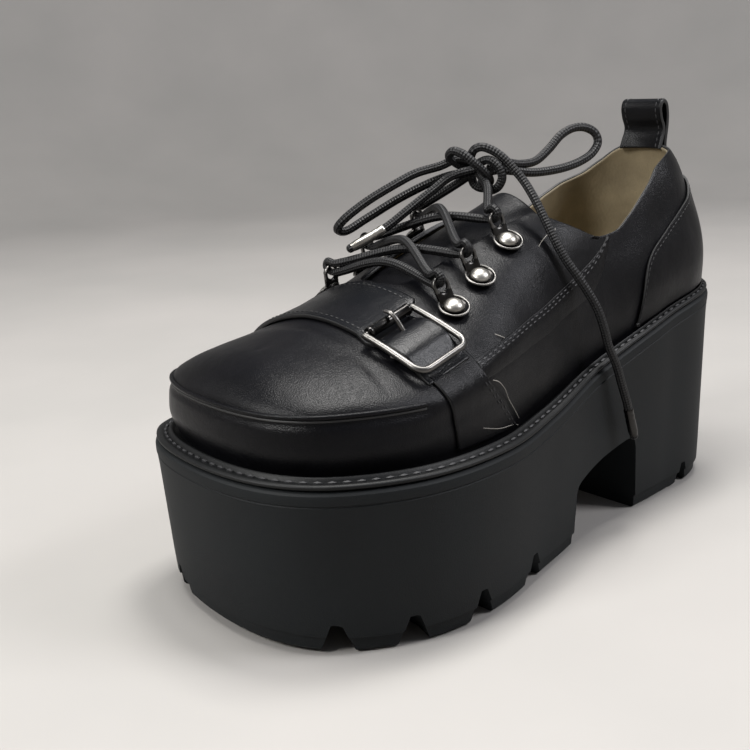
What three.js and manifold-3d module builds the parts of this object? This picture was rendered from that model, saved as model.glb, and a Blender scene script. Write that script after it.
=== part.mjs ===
// A left platform shoe in millimetres: toe to -Y, outer side of the foot to +X, up +Z.
// The origin is the middle of the heel's flat on the floor.
import * as THREE from "three";
import Module from "manifold-3d";

const wasm = await Module();
wasm.setup();
const { Manifold, Mesh, CrossSection } = wasm;

// Main sizes
const LENGTH = 266;
const FOREPART_WIDTH = 116;
const HEEL_HEIGHT = 86;
const PLATFORM_HEIGHT = 57.5;
const TOE_RISE = 1.2;
const TOE_SPRING = 2;
const TOE_LEAN = 2.8;
const HEEL_REACH = 80;
const FOREPART_START = 127;
const HEEL_CENTRE = 36;
const BACK_HEIGHT = 60;
const INSTEP_HEIGHT = 74;
const TOE_WELT = 9.6;
const HEEL_WELT = 4.6;

// Thicknesses and gaps
const WALL = 2;
const INSOLE = 3;
const WELT = 2.8;
const OVERLAY = 1.3;
const STRAP = 1.8;
const GAP = 0.3;

// Resolution
const STATIONS = 24;
const COLUMN_STEPS = 9;

const lerp = (a, b, t) => a + (b - a) * t;
const clamp = (v, lo, hi) => Math.min(hi, Math.max(lo, v));
const smooth = (t) => t * t * (3 - 2 * t);

// A smooth curve through a table's column, read at any share along the shoe.
function column(rows, name) {
  const xs = rows.map((row) => row.along);
  const ys = rows.map((row) => row[name]);
  const slope = ys.map((_, i) => {
    if (i === 0 || i === ys.length - 1) return null;
    const before = (ys[i] - ys[i - 1]) / (xs[i] - xs[i - 1]);
    const after = (ys[i + 1] - ys[i]) / (xs[i + 1] - xs[i]);
    return before * after <= 0 ? 0 : (2 * before * after) / (before + after);
  });
  slope[0] = (ys[1] - ys[0]) / (xs[1] - xs[0]);
  slope[ys.length - 1] = (ys.at(-1) - ys.at(-2)) / (xs.at(-1) - xs.at(-2));
  return (x) => {
    const at = clamp(x, xs[0], xs.at(-1));
    let i = 0;
    while (i < xs.length - 2 && at > xs[i + 1]) i++;
    const h = xs[i + 1] - xs[i];
    const t = (at - xs[i]) / h;
    const t2 = t * t;
    const t3 = t2 * t;
    return (
      (2 * t3 - 3 * t2 + 1) * ys[i] +
      (t3 - 2 * t2 + t) * h * slope[i] +
      (3 * t2 - 2 * t3) * ys[i + 1] +
      (t3 - t2) * h * slope[i + 1]
    );
  };
}

// The sole's plan: fullness is the half width over the sine of the station's own angle.
const OUTLINE = [
  { along: 0.0, lateral: 0.69, medial: 0.69 },
  { along: 0.03, lateral: 0.645, medial: 0.645 },
  { along: 0.09, lateral: 0.575, medial: 0.565 },
  { along: 0.22, lateral: 0.444, medial: 0.42 },
  { along: 0.395, lateral: 0.392, medial: 0.362 },
  { along: 0.545, lateral: 0.458, medial: 0.42 },
  { along: 0.685, lateral: 0.572, medial: 0.525 },
  { along: 0.805, lateral: 0.67, medial: 0.64 },
  { along: 0.9, lateral: 0.75, medial: 0.8 },
  { along: 0.97, lateral: 0.875, medial: 1.03 },
  { along: 1.0, lateral: 1.0, medial: 1.2 },
];
const lateralFullness = column(OUTLINE, "lateral");
const medialFullness = column(OUTLINE, "medial");
const topOfSole = (s) =>
  lerp(HEEL_HEIGHT, PLATFORM_HEIGHT, smooth(clamp((s - 8) / (0.655 * LENGTH - 8), 0, 1))) +
  TOE_RISE * clamp((s / LENGTH - 0.66) / 0.34, 0, 1) ** 2;
const springOf = (s) => TOE_SPRING * clamp((s / LENGTH - 0.86) / 0.14, 0, 1) ** 2;
const leanOf = (s) => TOE_LEAN * smooth(clamp((s / LENGTH - 0.72) / 0.28, 0, 1));
const weltWidth = (s) => lerp(HEEL_WELT, TOE_WELT, smooth(clamp((s / LENGTH - 0.1) / 0.7, 0, 1)));

// A point of the plan at angle 0 (heel) to 180 degrees (toe), on the side +1 (outer) or -1 (inner).
function planPoint(angle, side) {
  const s = (LENGTH * (1 - Math.cos(angle))) / 2;
  const fullness = side > 0 ? lateralFullness(s / LENGTH) : medialFullness(s / LENGTH);
  return [side * fullness * FOREPART_WIDTH * Math.sin(angle), s];
}
function insetPlan(angle, side, inset) {
  const step = 0.004;
  const [x, s] = planPoint(angle, side);
  const [xa, sa] = planPoint(Math.max(0, angle - step), side);
  const [xb, sb] = planPoint(Math.min(Math.PI, angle + step), side);
  let nx = (sb - sa) * side;
  let ns = -(xb - xa) * side;
  if (angle < step) [nx, ns] = [0, -1];
  if (angle > Math.PI - step) [nx, ns] = [0, 1];
  const size = Math.hypot(nx, ns);
  return [x - (inset * nx * side * side) / size, s - (inset * ns) / size];
}
const angles = Array.from({ length: STATIONS + 1 }, (_, i) => (Math.PI * i) / STATIONS);
// Places of one ring: the outer side from heel to toe, then the inner side back to the heel.
const ringPlaces = [
  ...angles.map((angle) => ({ angle, side: 1 })),
  ...angles
    .slice(1, -1)
    .reverse()
    .map((angle) => ({ angle, side: -1 })),
];
const world = ([x, s], z) => [x, HEEL_CENTRE - s, z];

// Solids from lists of points and faces
function solid(points, faces) {
  const keys = new Map();
  const kept = [];
  const index = points.map((p) => {
    const key = p.map((c) => Math.round(c * 1e4)).join();
    if (!keys.has(key)) {
      keys.set(key, kept.length);
      kept.push(p);
    }
    return keys.get(key);
  });
  const triangles = faces
    .map((face) => face.map((i) => index[i]))
    .filter(([a, b, c]) => a !== b && b !== c && a !== c);
  const made = new Manifold(
    new Mesh({
      numProp: 3,
      vertProperties: new Float32Array(kept.flat()),
      triVerts: new Uint32Array(triangles.flat()),
    }),
  );
  if (made.volume() > 0) return made;
  return new Manifold(
    new Mesh({
      numProp: 3,
      vertProperties: new Float32Array(kept.flat()),
      triVerts: new Uint32Array(triangles.map(([a, b, c]) => [a, c, b]).flat()),
    }),
  );
}
// Rings of places stacked one on another, closed at both ends by strips from side to side.
function stack(rings) {
  const count = rings[0].length;
  const faces = [];
  for (let k = 0; k + 1 < rings.length; k++)
    for (let j = 0; j < count; j++) {
      const next = (j + 1) % count;
      const [a, b] = [k * count + j, k * count + next];
      faces.push([a, b, b + count], [a, b + count, a + count]);
    }
  const across = (j) => (j === 0 || j === STATIONS ? j : count - j);
  const top = (rings.length - 1) * count;
  for (let j = 0; j < STATIONS; j++) {
    const [a, b, c, d] = [j, j + 1, across(j + 1), across(j)];
    faces.push([a, c, b], [a, d, c]);
    faces.push([top + a, top + b, top + c], [top + a, top + c, top + d]);
  }
  return solid(rings.flat(), faces);
}
// A closed band round the plan from a section of inset and height pairs.
function band(section) {
  const count = section.length;
  const points = ringPlaces.flatMap(({ angle, side }) => {
    const s = planPoint(angle, side)[1];
    return section.map(([inset, height]) =>
      world(insetPlan(angle, side, inset(s)), topOfSole(s) + height),
    );
  });
  const faces = [];
  for (let j = 0; j < ringPlaces.length; j++)
    for (let k = 0; k < count; k++) {
      const next = ((j + 1) % ringPlaces.length) * count;
      const [a, b] = [j * count + k, j * count + ((k + 1) % count)];
      const [c, d] = [next + ((k + 1) % count), next + k];
      faces.push([a, b, c], [a, c, d]);
    }
  return solid(points, faces);
}
// A prism through the shoe's side view, from points of station and height.
function sideCut(points, from, to) {
  const outline = new CrossSection([points.map(([s, z]) => [HEEL_CENTRE - s, z])], "EvenOdd");
  const turned = [0, 1, 0, 0, 0, 0, 1, 0, 1, 0, 0, 0, from, 0, 0, 1];
  return outline.extrude(to - from).transform(turned);
}
// A prism through the shoe's plan, from points of width and station.
function planCut(points, from, to) {
  const outline = new CrossSection([points.map(([x, s]) => [x, HEEL_CENTRE - s])], "EvenOdd");
  return outline.extrude(to - from).translate([0, 0, from]);
}

// The platform sole
const SOLE_LEVELS = [
  { inset: 4.2, lean: 1, above: 0 },
  { inset: 2.6, lean: 0.97, above: 1.4 },
  { inset: 2.2, lean: 0.92, above: 5.6 },
  { inset: 1.3, lean: 0.9, above: 6.2 },
  { inset: 0.5, lean: 0.1, below: 9.5 },
  { inset: 1.0, below: 9.1 },
  { inset: 1.0, below: 8.4 },
  { inset: 0.2, below: 8.0 },
  { inset: 0.0, below: 2.6 },
  { inset: 0.7, below: 0.7 },
  { inset: 2.4, below: 0.0 },
];
const solidSole = stack(
  SOLE_LEVELS.map(({ inset, lean = 0, above, below }) =>
    ringPlaces.map(({ angle, side }) => {
      const s = planPoint(angle, side)[1];
      const z = below === undefined ? springOf(s) + above : topOfSole(s) - below;
      return world(insetPlan(angle, side, inset + lean * leanOf(s)), z);
    }),
  ),
);
const ARCH = [
  [HEEL_REACH - 1.5, -2],
  [HEEL_REACH, 8],
  [HEEL_REACH + 0.8, 22],
  [HEEL_REACH + 1.6, 31],
  [HEEL_REACH + 4, 33.6],
  [HEEL_REACH + 12, 32.8],
  [HEEL_REACH + 24, 30.6],
  [HEEL_REACH + 36, 27.6],
  [FOREPART_START - 2.4, 25.2],
  [FOREPART_START - 0.4, 22.6],
  [FOREPART_START + 0.6, 10],
  [FOREPART_START + 1.4, -2],
];
// The notches between the lugs: where each stands on the edge, and how wide and high it is.
const NOTCHES = [
  { along: 0.155, side: 1, mouth: 10, height: 11 },
  { along: 0.608, side: 1, mouth: 15, height: 12.5 },
  { along: 0.735, side: 1, mouth: 13, height: 12.5 },
  { along: 0.845, side: 1, mouth: 13, height: 12.5 },
  { along: 0.935, side: 1, mouth: 13, height: 12.5 },
  { along: 0.958, side: -1, mouth: 12, height: 12.5 },
  { along: 0.88, side: -1, mouth: 13, height: 12.5 },
  { along: 0.79, side: -1, mouth: 13, height: 12.5 },
  { along: 0.705, side: -1, mouth: 13, height: 12.5 },
  { along: 0.595, side: -1, mouth: 14, height: 12.5 },
  { along: 0.155, side: -1, mouth: 10, height: 11 },
];
const NOTCH_DEPTH = 26;
const NOTCH_APEX = 2.2;
function notchCut({ along, side, mouth, height }) {
  const angle = Math.acos(1 - 2 * along);
  const [x, s] = planPoint(angle, side);
  const [xi, si] = insetPlan(angle, side, 1);
  const spring = springOf(s);
  const foot = mouth / 2 + 1.2;
  const points = [];
  const faces = [];
  for (const [inward, top] of [
    [-4, height * 1.12],
    [NOTCH_DEPTH, 0.4],
  ]) {
    const [cx, cs] = [x + (xi - x) * inward, s + (si - s) * inward];
    const [tx, ts] = [-(si - s), xi - x];
    for (const [across, z] of [
      [-foot, -2],
      [foot, -2],
      [NOTCH_APEX / 2, top],
      [-NOTCH_APEX / 2, top],
    ])
      points.push(world([cx + tx * across, cs + ts * across], spring + z));
  }
  for (const [a, b] of [
    [0, 1],
    [1, 2],
    [2, 3],
    [3, 0],
  ])
    faces.push([a, b, b + 4], [a, b + 4, a + 4]);
  faces.push([0, 2, 1], [0, 3, 2], [4, 5, 6], [4, 6, 7]);
  return solid(points, faces);
}
const platformSole = Manifold.difference([
  solidSole,
  sideCut(ARCH, -90, 90),
  ...NOTCHES.map(notchCut),
]);

// The last: each column climbs from the edge of the sole to the ridge of the foot.
// crest is the ridge's height over the sole, reach its station; out and up place three points of the
// column between the edge (1, 0) and the ridge (0, 1).
const LAST = [
  { along: 0.0, ridge: 0.128, crest: 1.06, out1: 0.98, up1: 0.24, out2: 0.82, up2: 0.5, out3: 0.57, up3: 0.8 },
  { along: 0.05, ridge: 0.14, crest: 1.06, out1: 1.0, up1: 0.24, out2: 0.87, up2: 0.5, out3: 0.61, up3: 0.8 },
  { along: 0.19, ridge: 0.215, crest: 1.02, out1: 1.03, up1: 0.24, out2: 0.9, up2: 0.5, out3: 0.64, up3: 0.8 },
  { along: 0.3, ridge: 0.31, crest: 0.99, out1: 1.01, up1: 0.24, out2: 0.88, up2: 0.5, out3: 0.62, up3: 0.8 },
  { along: 0.415, ridge: 0.42, crest: 0.95, out1: 1.0, up1: 0.25, out2: 0.91, up2: 0.52, out3: 0.63, up3: 0.81 },
  { along: 0.525, ridge: 0.53, crest: 0.87, out1: 1.01, up1: 0.27, out2: 0.93, up2: 0.55, out3: 0.62, up3: 0.86 },
  { along: 0.595, ridge: 0.6, crest: 0.8, out1: 1.01, up1: 0.28, out2: 0.95, up2: 0.56, out3: 0.62, up3: 0.86 },
  { along: 0.67, ridge: 0.67, crest: 0.7, out1: 1.01, up1: 0.29, out2: 0.965, up2: 0.56, out3: 0.6, up3: 0.85 },
  { along: 0.78, ridge: 0.76, crest: 0.585, out1: 1.02, up1: 0.3, out2: 0.985, up2: 0.56, out3: 0.58, up3: 0.85 },
  { along: 0.9, ridge: 0.85, crest: 0.51, out1: 1.03, up1: 0.3, out2: 1.0, up2: 0.6, out3: 0.6, up3: 0.86 },
  { along: 1.0, ridge: 0.89, crest: 0.475, out1: 1.07, up1: 0.32, out2: 1.05, up2: 0.62, out3: 0.66, up3: 0.87 },
];
const LAST_COLUMNS = ["ridge", "crest", "out1", "up1", "out2", "up2", "out3", "up3"];
const last = Object.fromEntries(LAST_COLUMNS.map((name) => [name, column(LAST, name)]));
const RIDGE_SHIFT = -2.5;

function catmull(points, t) {
  const spans = points.length - 1;
  const i = Math.min(spans - 1, Math.floor(t * spans));
  const u = t * spans - i;
  const p1 = points[i];
  const p2 = points[i + 1];
  const p0 = i > 0 ? points[i - 1] : [p1[0], 2 * p1[1] - p2[1]];
  const p3 = i + 2 < points.length ? points[i + 2] : [-points[spans - 1][0], points[spans - 1][1]];
  return p1.map(
    (_, c) =>
      0.5 *
      (2 * p1[c] +
        (p2[c] - p0[c]) * u +
        (2 * p0[c] - 5 * p1[c] + 4 * p2[c] - p3[c]) * u * u +
        (3 * p1[c] - p0[c] - 3 * p2[c] + p3[c]) * u * u * u),
  );
}
// A point of the last's surface: angle round the plan, side, and share t up its column.
function lastPoint(angle, side, t) {
  const [, sPlan] = planPoint(angle, side);
  const share = sPlan / LENGTH;
  const row = Object.fromEntries(LAST_COLUMNS.map((name) => [name, last[name](share)]));
  const edge = insetPlan(angle, side, weltWidth(sPlan));
  const ridgeStation = row.ridge * LENGTH;
  const base = topOfSole(sPlan) + GAP;
  const crest = topOfSole(ridgeStation) + GAP + row.crest * INSTEP_HEIGHT;
  const [out, up] = catmull(
    [
      [1, 0],
      [row.out1, row.up1],
      [row.out2, row.up2],
      [row.out3, row.up3],
      [0, 1],
    ],
    t,
  );
  const shift = RIDGE_SHIFT * (1 - out);
  return world(
    [edge[0] * out + shift, ridgeStation + (edge[1] - ridgeStation) * out],
    lerp(base, crest, up),
  );
}
function lastNormal(angle, side, t) {
  const d = 0.01;
  const [t0, t1] = [Math.max(0, t - d), Math.min(0.999, t + d)];
  const [a0, a1] = [Math.max(0.001, angle - d), Math.min(Math.PI - 0.001, angle + d)];
  const up = new THREE.Vector3(...lastPoint(angle, side, t1)).sub(
    new THREE.Vector3(...lastPoint(angle, side, t0)),
  );
  const along = new THREE.Vector3(...lastPoint(a1, side, t)).sub(
    new THREE.Vector3(...lastPoint(a0, side, t)),
  );
  const normal = up.cross(along).multiplyScalar(side).normalize();
  if (angle < d || angle > Math.PI - d) normal.setX(0);
  if (t === 0) normal.setZ(0);
  if (t === 1) normal.set(0, normal.y * 0.5, 1);
  return normal.normalize();
}
function lastRing(t, offset) {
  return ringPlaces.map(({ angle, side }) => {
    const n = lastNormal(angle, side, t);
    const p = lastPoint(angle, side, t);
    return [p[0] + n.x * offset, p[1] + n.y * offset, p[2] + n.z * offset];
  });
}
// The last grown by an offset; drop lets its foot reach below the edge of the upper.
function lastSolid(offset, drop = 0) {
  const rings = [];
  for (let k = 0; k <= COLUMN_STEPS; k++) rings.push(lastRing(k / COLUMN_STEPS, offset));
  if (drop) rings.unshift(rings[0].map(([x, y, z]) => [x, y, z - drop]));
  const count = ringPlaces.length;
  const top = rings.at(-1);
  const half = Math.floor(count / 2);
  for (let j = 1; j < half; j++) {
    const other = count - j;
    const middle = top[j].map((c, i) => (c + top[other][i]) / 2);
    top[j] = middle;
    top[other] = middle;
  }
  return stack(rings);
}

// Where the upper is open: the collar seen from the side, the throat seen from above.
const COLLAR = [
  { along: -0.06, lateral: 1.045, medial: 1.045 },
  { along: 0.068, lateral: 1.043, medial: 1.043 },
  { along: 0.086, lateral: 1.02, medial: 0.92 },
  { along: 0.115, lateral: 1.0, medial: 0.82 },
  { along: 0.17, lateral: 0.92, medial: 0.75 },
  { along: 0.207, lateral: 0.81, medial: 0.69 },
  { along: 0.238, lateral: 0.722, medial: 0.63 },
  { along: 0.272, lateral: 0.622, medial: 0.57 },
  { along: 0.31, lateral: 0.535, medial: 0.53 },
  { along: 0.345, lateral: 0.518, medial: 0.518 },
  { along: 0.389, lateral: 0.595, medial: 0.595 },
  { along: 0.46, lateral: 0.76, medial: 0.76 },
  { along: 0.5, lateral: 0.845, medial: 0.845 },
  { along: 0.54, lateral: 0.875, medial: 0.875 },
];
const collarSide = (name, from, to) => {
  const heightAt = column(COLLAR, name);
  const edge = Array.from({ length: 33 }, (_, i) => {
    const along = lerp(-0.06, 0.54, i / 32);
    return [along * LENGTH, HEEL_HEIGHT + heightAt(along) * BACK_HEIGHT];
  });
  return sideCut([...edge, [0.545 * LENGTH, 240], [-0.06 * LENGTH, 240]], from, to);
};
const collarCut = Manifold.union([collarSide("lateral", 0, 90), collarSide("medial", -90, 0)]);
const THROAT = [
  { along: 0.4, lateral: 19, medial: 19 },
  { along: 0.55, lateral: 16, medial: 16 },
  { along: 0.6, lateral: 14.5, medial: 14.5 },
  { along: 0.65, lateral: 12.5, medial: 13 },
  { along: 0.675, lateral: 10, medial: 11 },
  { along: 0.685, lateral: 6, medial: 7 },
];
const throatCut = planCut(
  [
    ...THROAT.map(({ along, lateral }) => [lateral + RIDGE_SHIFT, along * LENGTH]),
    ...THROAT.toReversed().map(({ along, medial }) => [RIDGE_SHIFT - medial, along * LENGTH]),
  ],
  85,
  240,
);
const upper = Manifold.difference([lastSolid(0), lastSolid(-WALL, 4), collarCut, throatCut]);

const insole = stack(
  [
    { extra: WALL + 0.9, height: GAP },
    { extra: WALL + 0.9, height: GAP + INSOLE },
  ].map(({ extra, height }) =>
    ringPlaces.map(({ angle, side }) => {
      const s = planPoint(angle, side)[1];
      return world(insetPlan(angle, side, weltWidth(s) + extra), topOfSole(s) + height);
    }),
  ),
);
const welt = band([
  [() => 1.4, GAP],
  [() => 0.9, GAP + 0.9],
  [() => 1.5, GAP + 1.9],
  [(s) => weltWidth(s) - 3.6, GAP + 1.9],
  [(s) => weltWidth(s) - 2.8, GAP + WELT],
  [(s) => weltWidth(s) - 1.5, GAP + WELT],
  [(s) => weltWidth(s) - 0.9, GAP],
]);

// The room the welt takes, which the overlays stop above
const weltRoom = stack(
  [
    () => 20,
    (s) => topOfSole(s) + WELT + 2 * GAP,
  ].map((height) =>
    ringPlaces.map(({ angle, side }) => {
      const s = planPoint(angle, side)[1];
      return world(insetPlan(angle, side, -3), height(s));
    }),
  ),
);
// Overlays: a layer of the last between two offsets, inside a region of the side view.
function layer(inner, thick, region, from, to) {
  return Manifold.difference([
    Manifold.intersection([lastSolid(inner + thick), sideCut(region, from, to)]),
    lastSolid(inner, 6),
    weltRoom,
  ]);
}
const collarTrim = collarCut.translate([0, 0, -1.2]);
const throatTrim = planCut(
  [
    ...THROAT.map(({ along, lateral }) => [lateral + 1 + RIDGE_SHIFT, along * LENGTH]),
    ...THROAT.toReversed().map(({ along, medial }) => [RIDGE_SHIFT - medial - 1, along * LENGTH]),
  ],
  85,
  240,
);
const QUARTER_SEAM = [
  [80, 122],
  [84, 114.5],
  [105, 106.6],
  [135, 100.7],
  [160, 93],
  [174.5, 88],
];
const facingRegion = [...QUARTER_SEAM, [179.5, 88.5], [181.6, 100], [181.6, 240], [80, 240]];
const anchorRegion = [
  [174, 88.6],
  [172, 78],
  [162.8, 56],
  [198.4, 52],
  [203, 70],
  [208.6, 83],
  [181.6, 84.4],
  [181.6, 92],
  [176, 92],
];
const facingLateral = Manifold.difference([
  Manifold.intersection([
    Manifold.difference([lastSolid(GAP + OVERLAY), lastSolid(GAP, 6)]),
    Manifold.union([sideCut(facingRegion, 2, 90), sideCut(anchorRegion, 20, 90)]),
  ]),
  collarTrim,
  throatTrim,
  weltRoom,
]);
const facingMedial = Manifold.difference([
  layer(GAP, OVERLAY, facingRegion, -90, -6),
  collarTrim,
  throatTrim,
]);
const COUNTER = [
  [-30, 70],
  [78.6, 70],
  [77.4, 79],
  [72.6, 97.8],
  [67, 106.4],
  [52.6, 115.6],
  [38.5, 123.4],
  [30, 127.4],
  [20, 133],
  [12, 137],
  [-30, 137],
];
const heelCounter = Manifold.difference([layer(GAP, OVERLAY, COUNTER, -90, 90), collarTrim]);

const tongueRegion = planCut(
  [
    [17, 113],
    [19, 120],
    [19, 172],
    [15, 184],
    [-20, 184],
    [-24, 172],
    [-24, 120],
    [-22, 113],
  ],
  95,
  240,
);
const tongue = Manifold.difference([
  Manifold.intersection([lastSolid(-WALL - GAP), tongueRegion]),
  lastSolid(-WALL - GAP - 1.8, 6),
]);

// A strip of constant thickness swept along points, each with its own across direction and normal.
function strip(rows, width, thick) {
  const across = 4;
  const points = [];
  for (const side of [0.5, -0.5])
    for (const { at, wide, normal, bow = 0 } of rows)
      for (let i = 0; i <= across; i++) {
        const u = (i / across - 0.5) * width;
        points.push(
          at
            .clone()
            .addScaledVector(wide, u)
            .addScaledVector(normal, side * thick)
            .add(new THREE.Vector3(0, -bow * (u / (width / 2)) ** 2, 0))
            .toArray(),
        );
      }
  const count = rows.length;
  const id = (layerIndex, r, i) => (layerIndex * count + r) * (across + 1) + i;
  const faces = [];
  const quad = (a, b, c, d) => faces.push([a, b, c], [a, c, d]);
  for (let r = 0; r + 1 < count; r++) {
    for (let i = 0; i < across; i++) {
      quad(id(0, r, i), id(0, r, i + 1), id(0, r + 1, i + 1), id(0, r + 1, i));
      quad(id(1, r, i), id(1, r + 1, i), id(1, r + 1, i + 1), id(1, r, i + 1));
    }
    quad(id(0, r, 0), id(0, r + 1, 0), id(1, r + 1, 0), id(1, r, 0));
    quad(id(0, r, across), id(1, r, across), id(1, r + 1, across), id(0, r + 1, across));
  }
  for (let i = 0; i < across; i++) {
    quad(id(0, 0, i), id(1, 0, i), id(1, 0, i + 1), id(0, 0, i + 1));
    const r = count - 1;
    quad(id(0, r, i), id(0, r, i + 1), id(1, r, i + 1), id(1, r, i));
  }
  return solid(points, faces);
}
// A round cord or bar along points.
function tube(points, radius, steps, sides = 8) {
  const curve = new THREE.CatmullRomCurve3(
    points.map((p) => new THREE.Vector3(...p)),
    false,
    "centripetal",
  );
  const frames = curve.computeFrenetFrames(steps, false);
  const made = [];
  for (let i = 0; i <= steps; i++) {
    const at = curve.getPointAt(i / steps);
    for (let k = 0; k < sides; k++) {
      const a = (2 * Math.PI * k) / sides;
      made.push(
        at
          .clone()
          .addScaledVector(frames.normals[i], radius * Math.cos(a))
          .addScaledVector(frames.binormals[i], radius * Math.sin(a))
          .toArray(),
      );
    }
  }
  const faces = [];
  for (let i = 0; i < steps; i++)
    for (let k = 0; k < sides; k++) {
      const next = (k + 1) % sides;
      const [a, b] = [i * sides + k, i * sides + next];
      faces.push([a, b, b + sides], [a, b + sides, a + sides]);
    }
  const end = steps * sides;
  for (let k = 1; k + 1 < sides; k++) {
    faces.push([0, k + 1, k]);
    faces.push([end, end + k, end + k + 1]);
  }
  return solid(made, faces);
}
// A solid made in its own frame, placed with three axes at a point.
function placed(made, at, u, v, n) {
  return made.transform([...u.toArray(), 0, ...v.toArray(), 0, ...n.toArray(), 0, ...at.toArray(), 1]);
}
// A place on the last found by its station share and width, with its own axes.
function placeAt(along, side, width) {
  const angle = Math.acos(1 - 2 * along);
  let [low, high] = [0.3, 1];
  for (let i = 0; i < 30; i++) {
    const mid = (low + high) / 2;
    if (side * lastPoint(angle, side, mid)[0] > width) low = mid;
    else high = mid;
  }
  const t = (low + high) / 2;
  const at = new THREE.Vector3(...lastPoint(angle, side, t));
  const normal = lastNormal(angle, side, t);
  return { at, normal };
}

// Buckle
const BUCKLE = {
  near: { along: 0.768, width: 23.6 },
  far: { along: 0.746, width: 46.8 },
  stand: 4.6,
  long: 26,
  bar: 2.6,
  tall: 2.8,
  roller: 4.2,
};
const nearPlace = placeAt(BUCKLE.near.along, 1, BUCKLE.near.width);
const farPlace = placeAt(BUCKLE.far.along, 1, BUCKLE.far.width);
const buckleAlong = (BUCKLE.near.along + BUCKLE.far.along) / 2;
const buckleX = (BUCKLE.near.width + BUCKLE.far.width) / 2;
const halfLong = BUCKLE.long / 2 / LENGTH;
const behindPlace = placeAt(buckleAlong - halfLong, 1, buckleX);
const aheadPlace = placeAt(buckleAlong + halfLong, 1, buckleX);
const buckleAcross = farPlace.at.clone().sub(nearPlace.at).normalize();
const buckleNormal = buckleAcross.clone().cross(behindPlace.at.clone().sub(aheadPlace.at));
buckleNormal.normalize();
const buckleLong = buckleNormal.clone().cross(buckleAcross).normalize();
const buckleWide = farPlace.at.distanceTo(nearPlace.at);
const buckleMiddle = nearPlace.at
  .clone()
  .lerp(farPlace.at, 0.5)
  .addScaledVector(buckleNormal, BUCKLE.stand);
function roundedBox(wide, long, corner) {
  const points = [];
  for (const [cx, cy, from] of [
    [wide / 2 - corner, long / 2 - corner, 0],
    [corner - wide / 2, long / 2 - corner, 90],
    [corner - wide / 2, corner - long / 2, 180],
    [wide / 2 - corner, corner - long / 2, 270],
  ])
    for (let i = 0; i <= 4; i++) {
      const a = THREE.MathUtils.degToRad(from + (90 * i) / 4);
      points.push([cx + corner * Math.cos(a), cy + corner * Math.sin(a)]);
    }
  return new CrossSection([points], "EvenOdd");
}
const frameRing = roundedBox(buckleWide + BUCKLE.bar, BUCKLE.long, 4.6)
  .subtract(roundedBox(buckleWide - BUCKLE.bar, BUCKLE.long - 2 * BUCKLE.bar, 2.4))
  .extrude(BUCKLE.tall)
  .translate([0, 0, -BUCKLE.tall / 2]);
const axleSpace = Manifold.cube([6, BUCKLE.long - 2 * BUCKLE.bar, 6], true).translate([
  -buckleWide / 2,
  0,
  0,
]);
const rod = (radius, long, sides) =>
  Manifold.cylinder(long, radius, radius, sides, true).rotate([90, 0, 0]);
const buckleFrame = Manifold.union([
  Manifold.difference([frameRing, axleSpace]),
  rod(0.9, BUCKLE.long - 2, 8).translate([-buckleWide / 2, 0, 0]),
  rod(0.9, BUCKLE.long - 2, 8).translate([0, 0, -1.3]),
]);
const buckleRoller = Manifold.difference([
  rod(BUCKLE.roller / 2, BUCKLE.long - 2 * BUCKLE.bar - 0.8, 14),
  rod(1.3, BUCKLE.long, 10),
]).translate([-buckleWide / 2, 0, 0]);
const onBuckle = (made) => placed(made, buckleMiddle, buckleAcross, buckleLong, buckleNormal);
const bucklePoint = (u, v, n) =>
  buckleMiddle
    .clone()
    .addScaledVector(buckleAcross, u)
    .addScaledVector(buckleLong, v)
    .addScaledVector(buckleNormal, n);
const prongPath = [
  [-1.35, 0, -1.3],
  [-4.4, 0, -1.1],
  [-7.2, 0, 0.9],
  [-9.6, 0, 2.8],
  [-12.3, 0, 3.65],
  [-14.6, 0, 3.0],
];
const bucklePronged = tube(
  prongPath.map(([u, v, n]) => bucklePoint(u, v, n).toArray()),
  0.95,
  12,
);

// Strap: a band over the instep that rises over the buckle's middle bar
const strapRegion = [
  [174, 52],
  [178.4, 72],
  [183, 88],
  [184.6, 100],
  [184.6, 130],
  [212.5, 130],
  [211.5, 95],
  [209.5, 86],
  [204, 72],
  [199, 52],
];
const HUMP = [
  { along: -0.72, rise: -3.3 },
  { along: -0.5, rise: -3.35 },
  { along: -0.37, rise: -2.3 },
  { along: -0.2, rise: 0.25 },
  { along: 0.0, rise: 0.95 },
  { along: 0.18, rise: 0.45 },
  { along: 0.34, rise: -1.7 },
  { along: 0.5, rise: -3.3 },
  { along: 0.61, rise: -3.9 },
];
const humpRows = HUMP.map(({ along, rise }, i) => {
  const before = HUMP[Math.max(0, i - 1)];
  const after = HUMP[Math.min(HUMP.length - 1, i + 1)];
  const slope = (after.rise - before.rise) / ((after.along - before.along) * buckleWide);
  return {
    at: bucklePoint(along * buckleWide, 0, rise),
    wide: buckleLong,
    normal: buckleNormal.clone().addScaledVector(buckleAcross, -slope).normalize(),
  };
});
const strapBand = Manifold.difference([
  layer(GAP, STRAP, strapRegion, -90, nearPlace.at.x - 1),
]);
const strapHole = onBuckle(Manifold.cube([7.5, 2.8, 9], true).translate([-6.6, 0, -0.5]));
const strap = Manifold.difference([
  Manifold.union([strapBand, strip(humpRows, 19.5, STRAP)]),
  strapHole,
  lastSolid(GAP, 6),
]);

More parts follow.
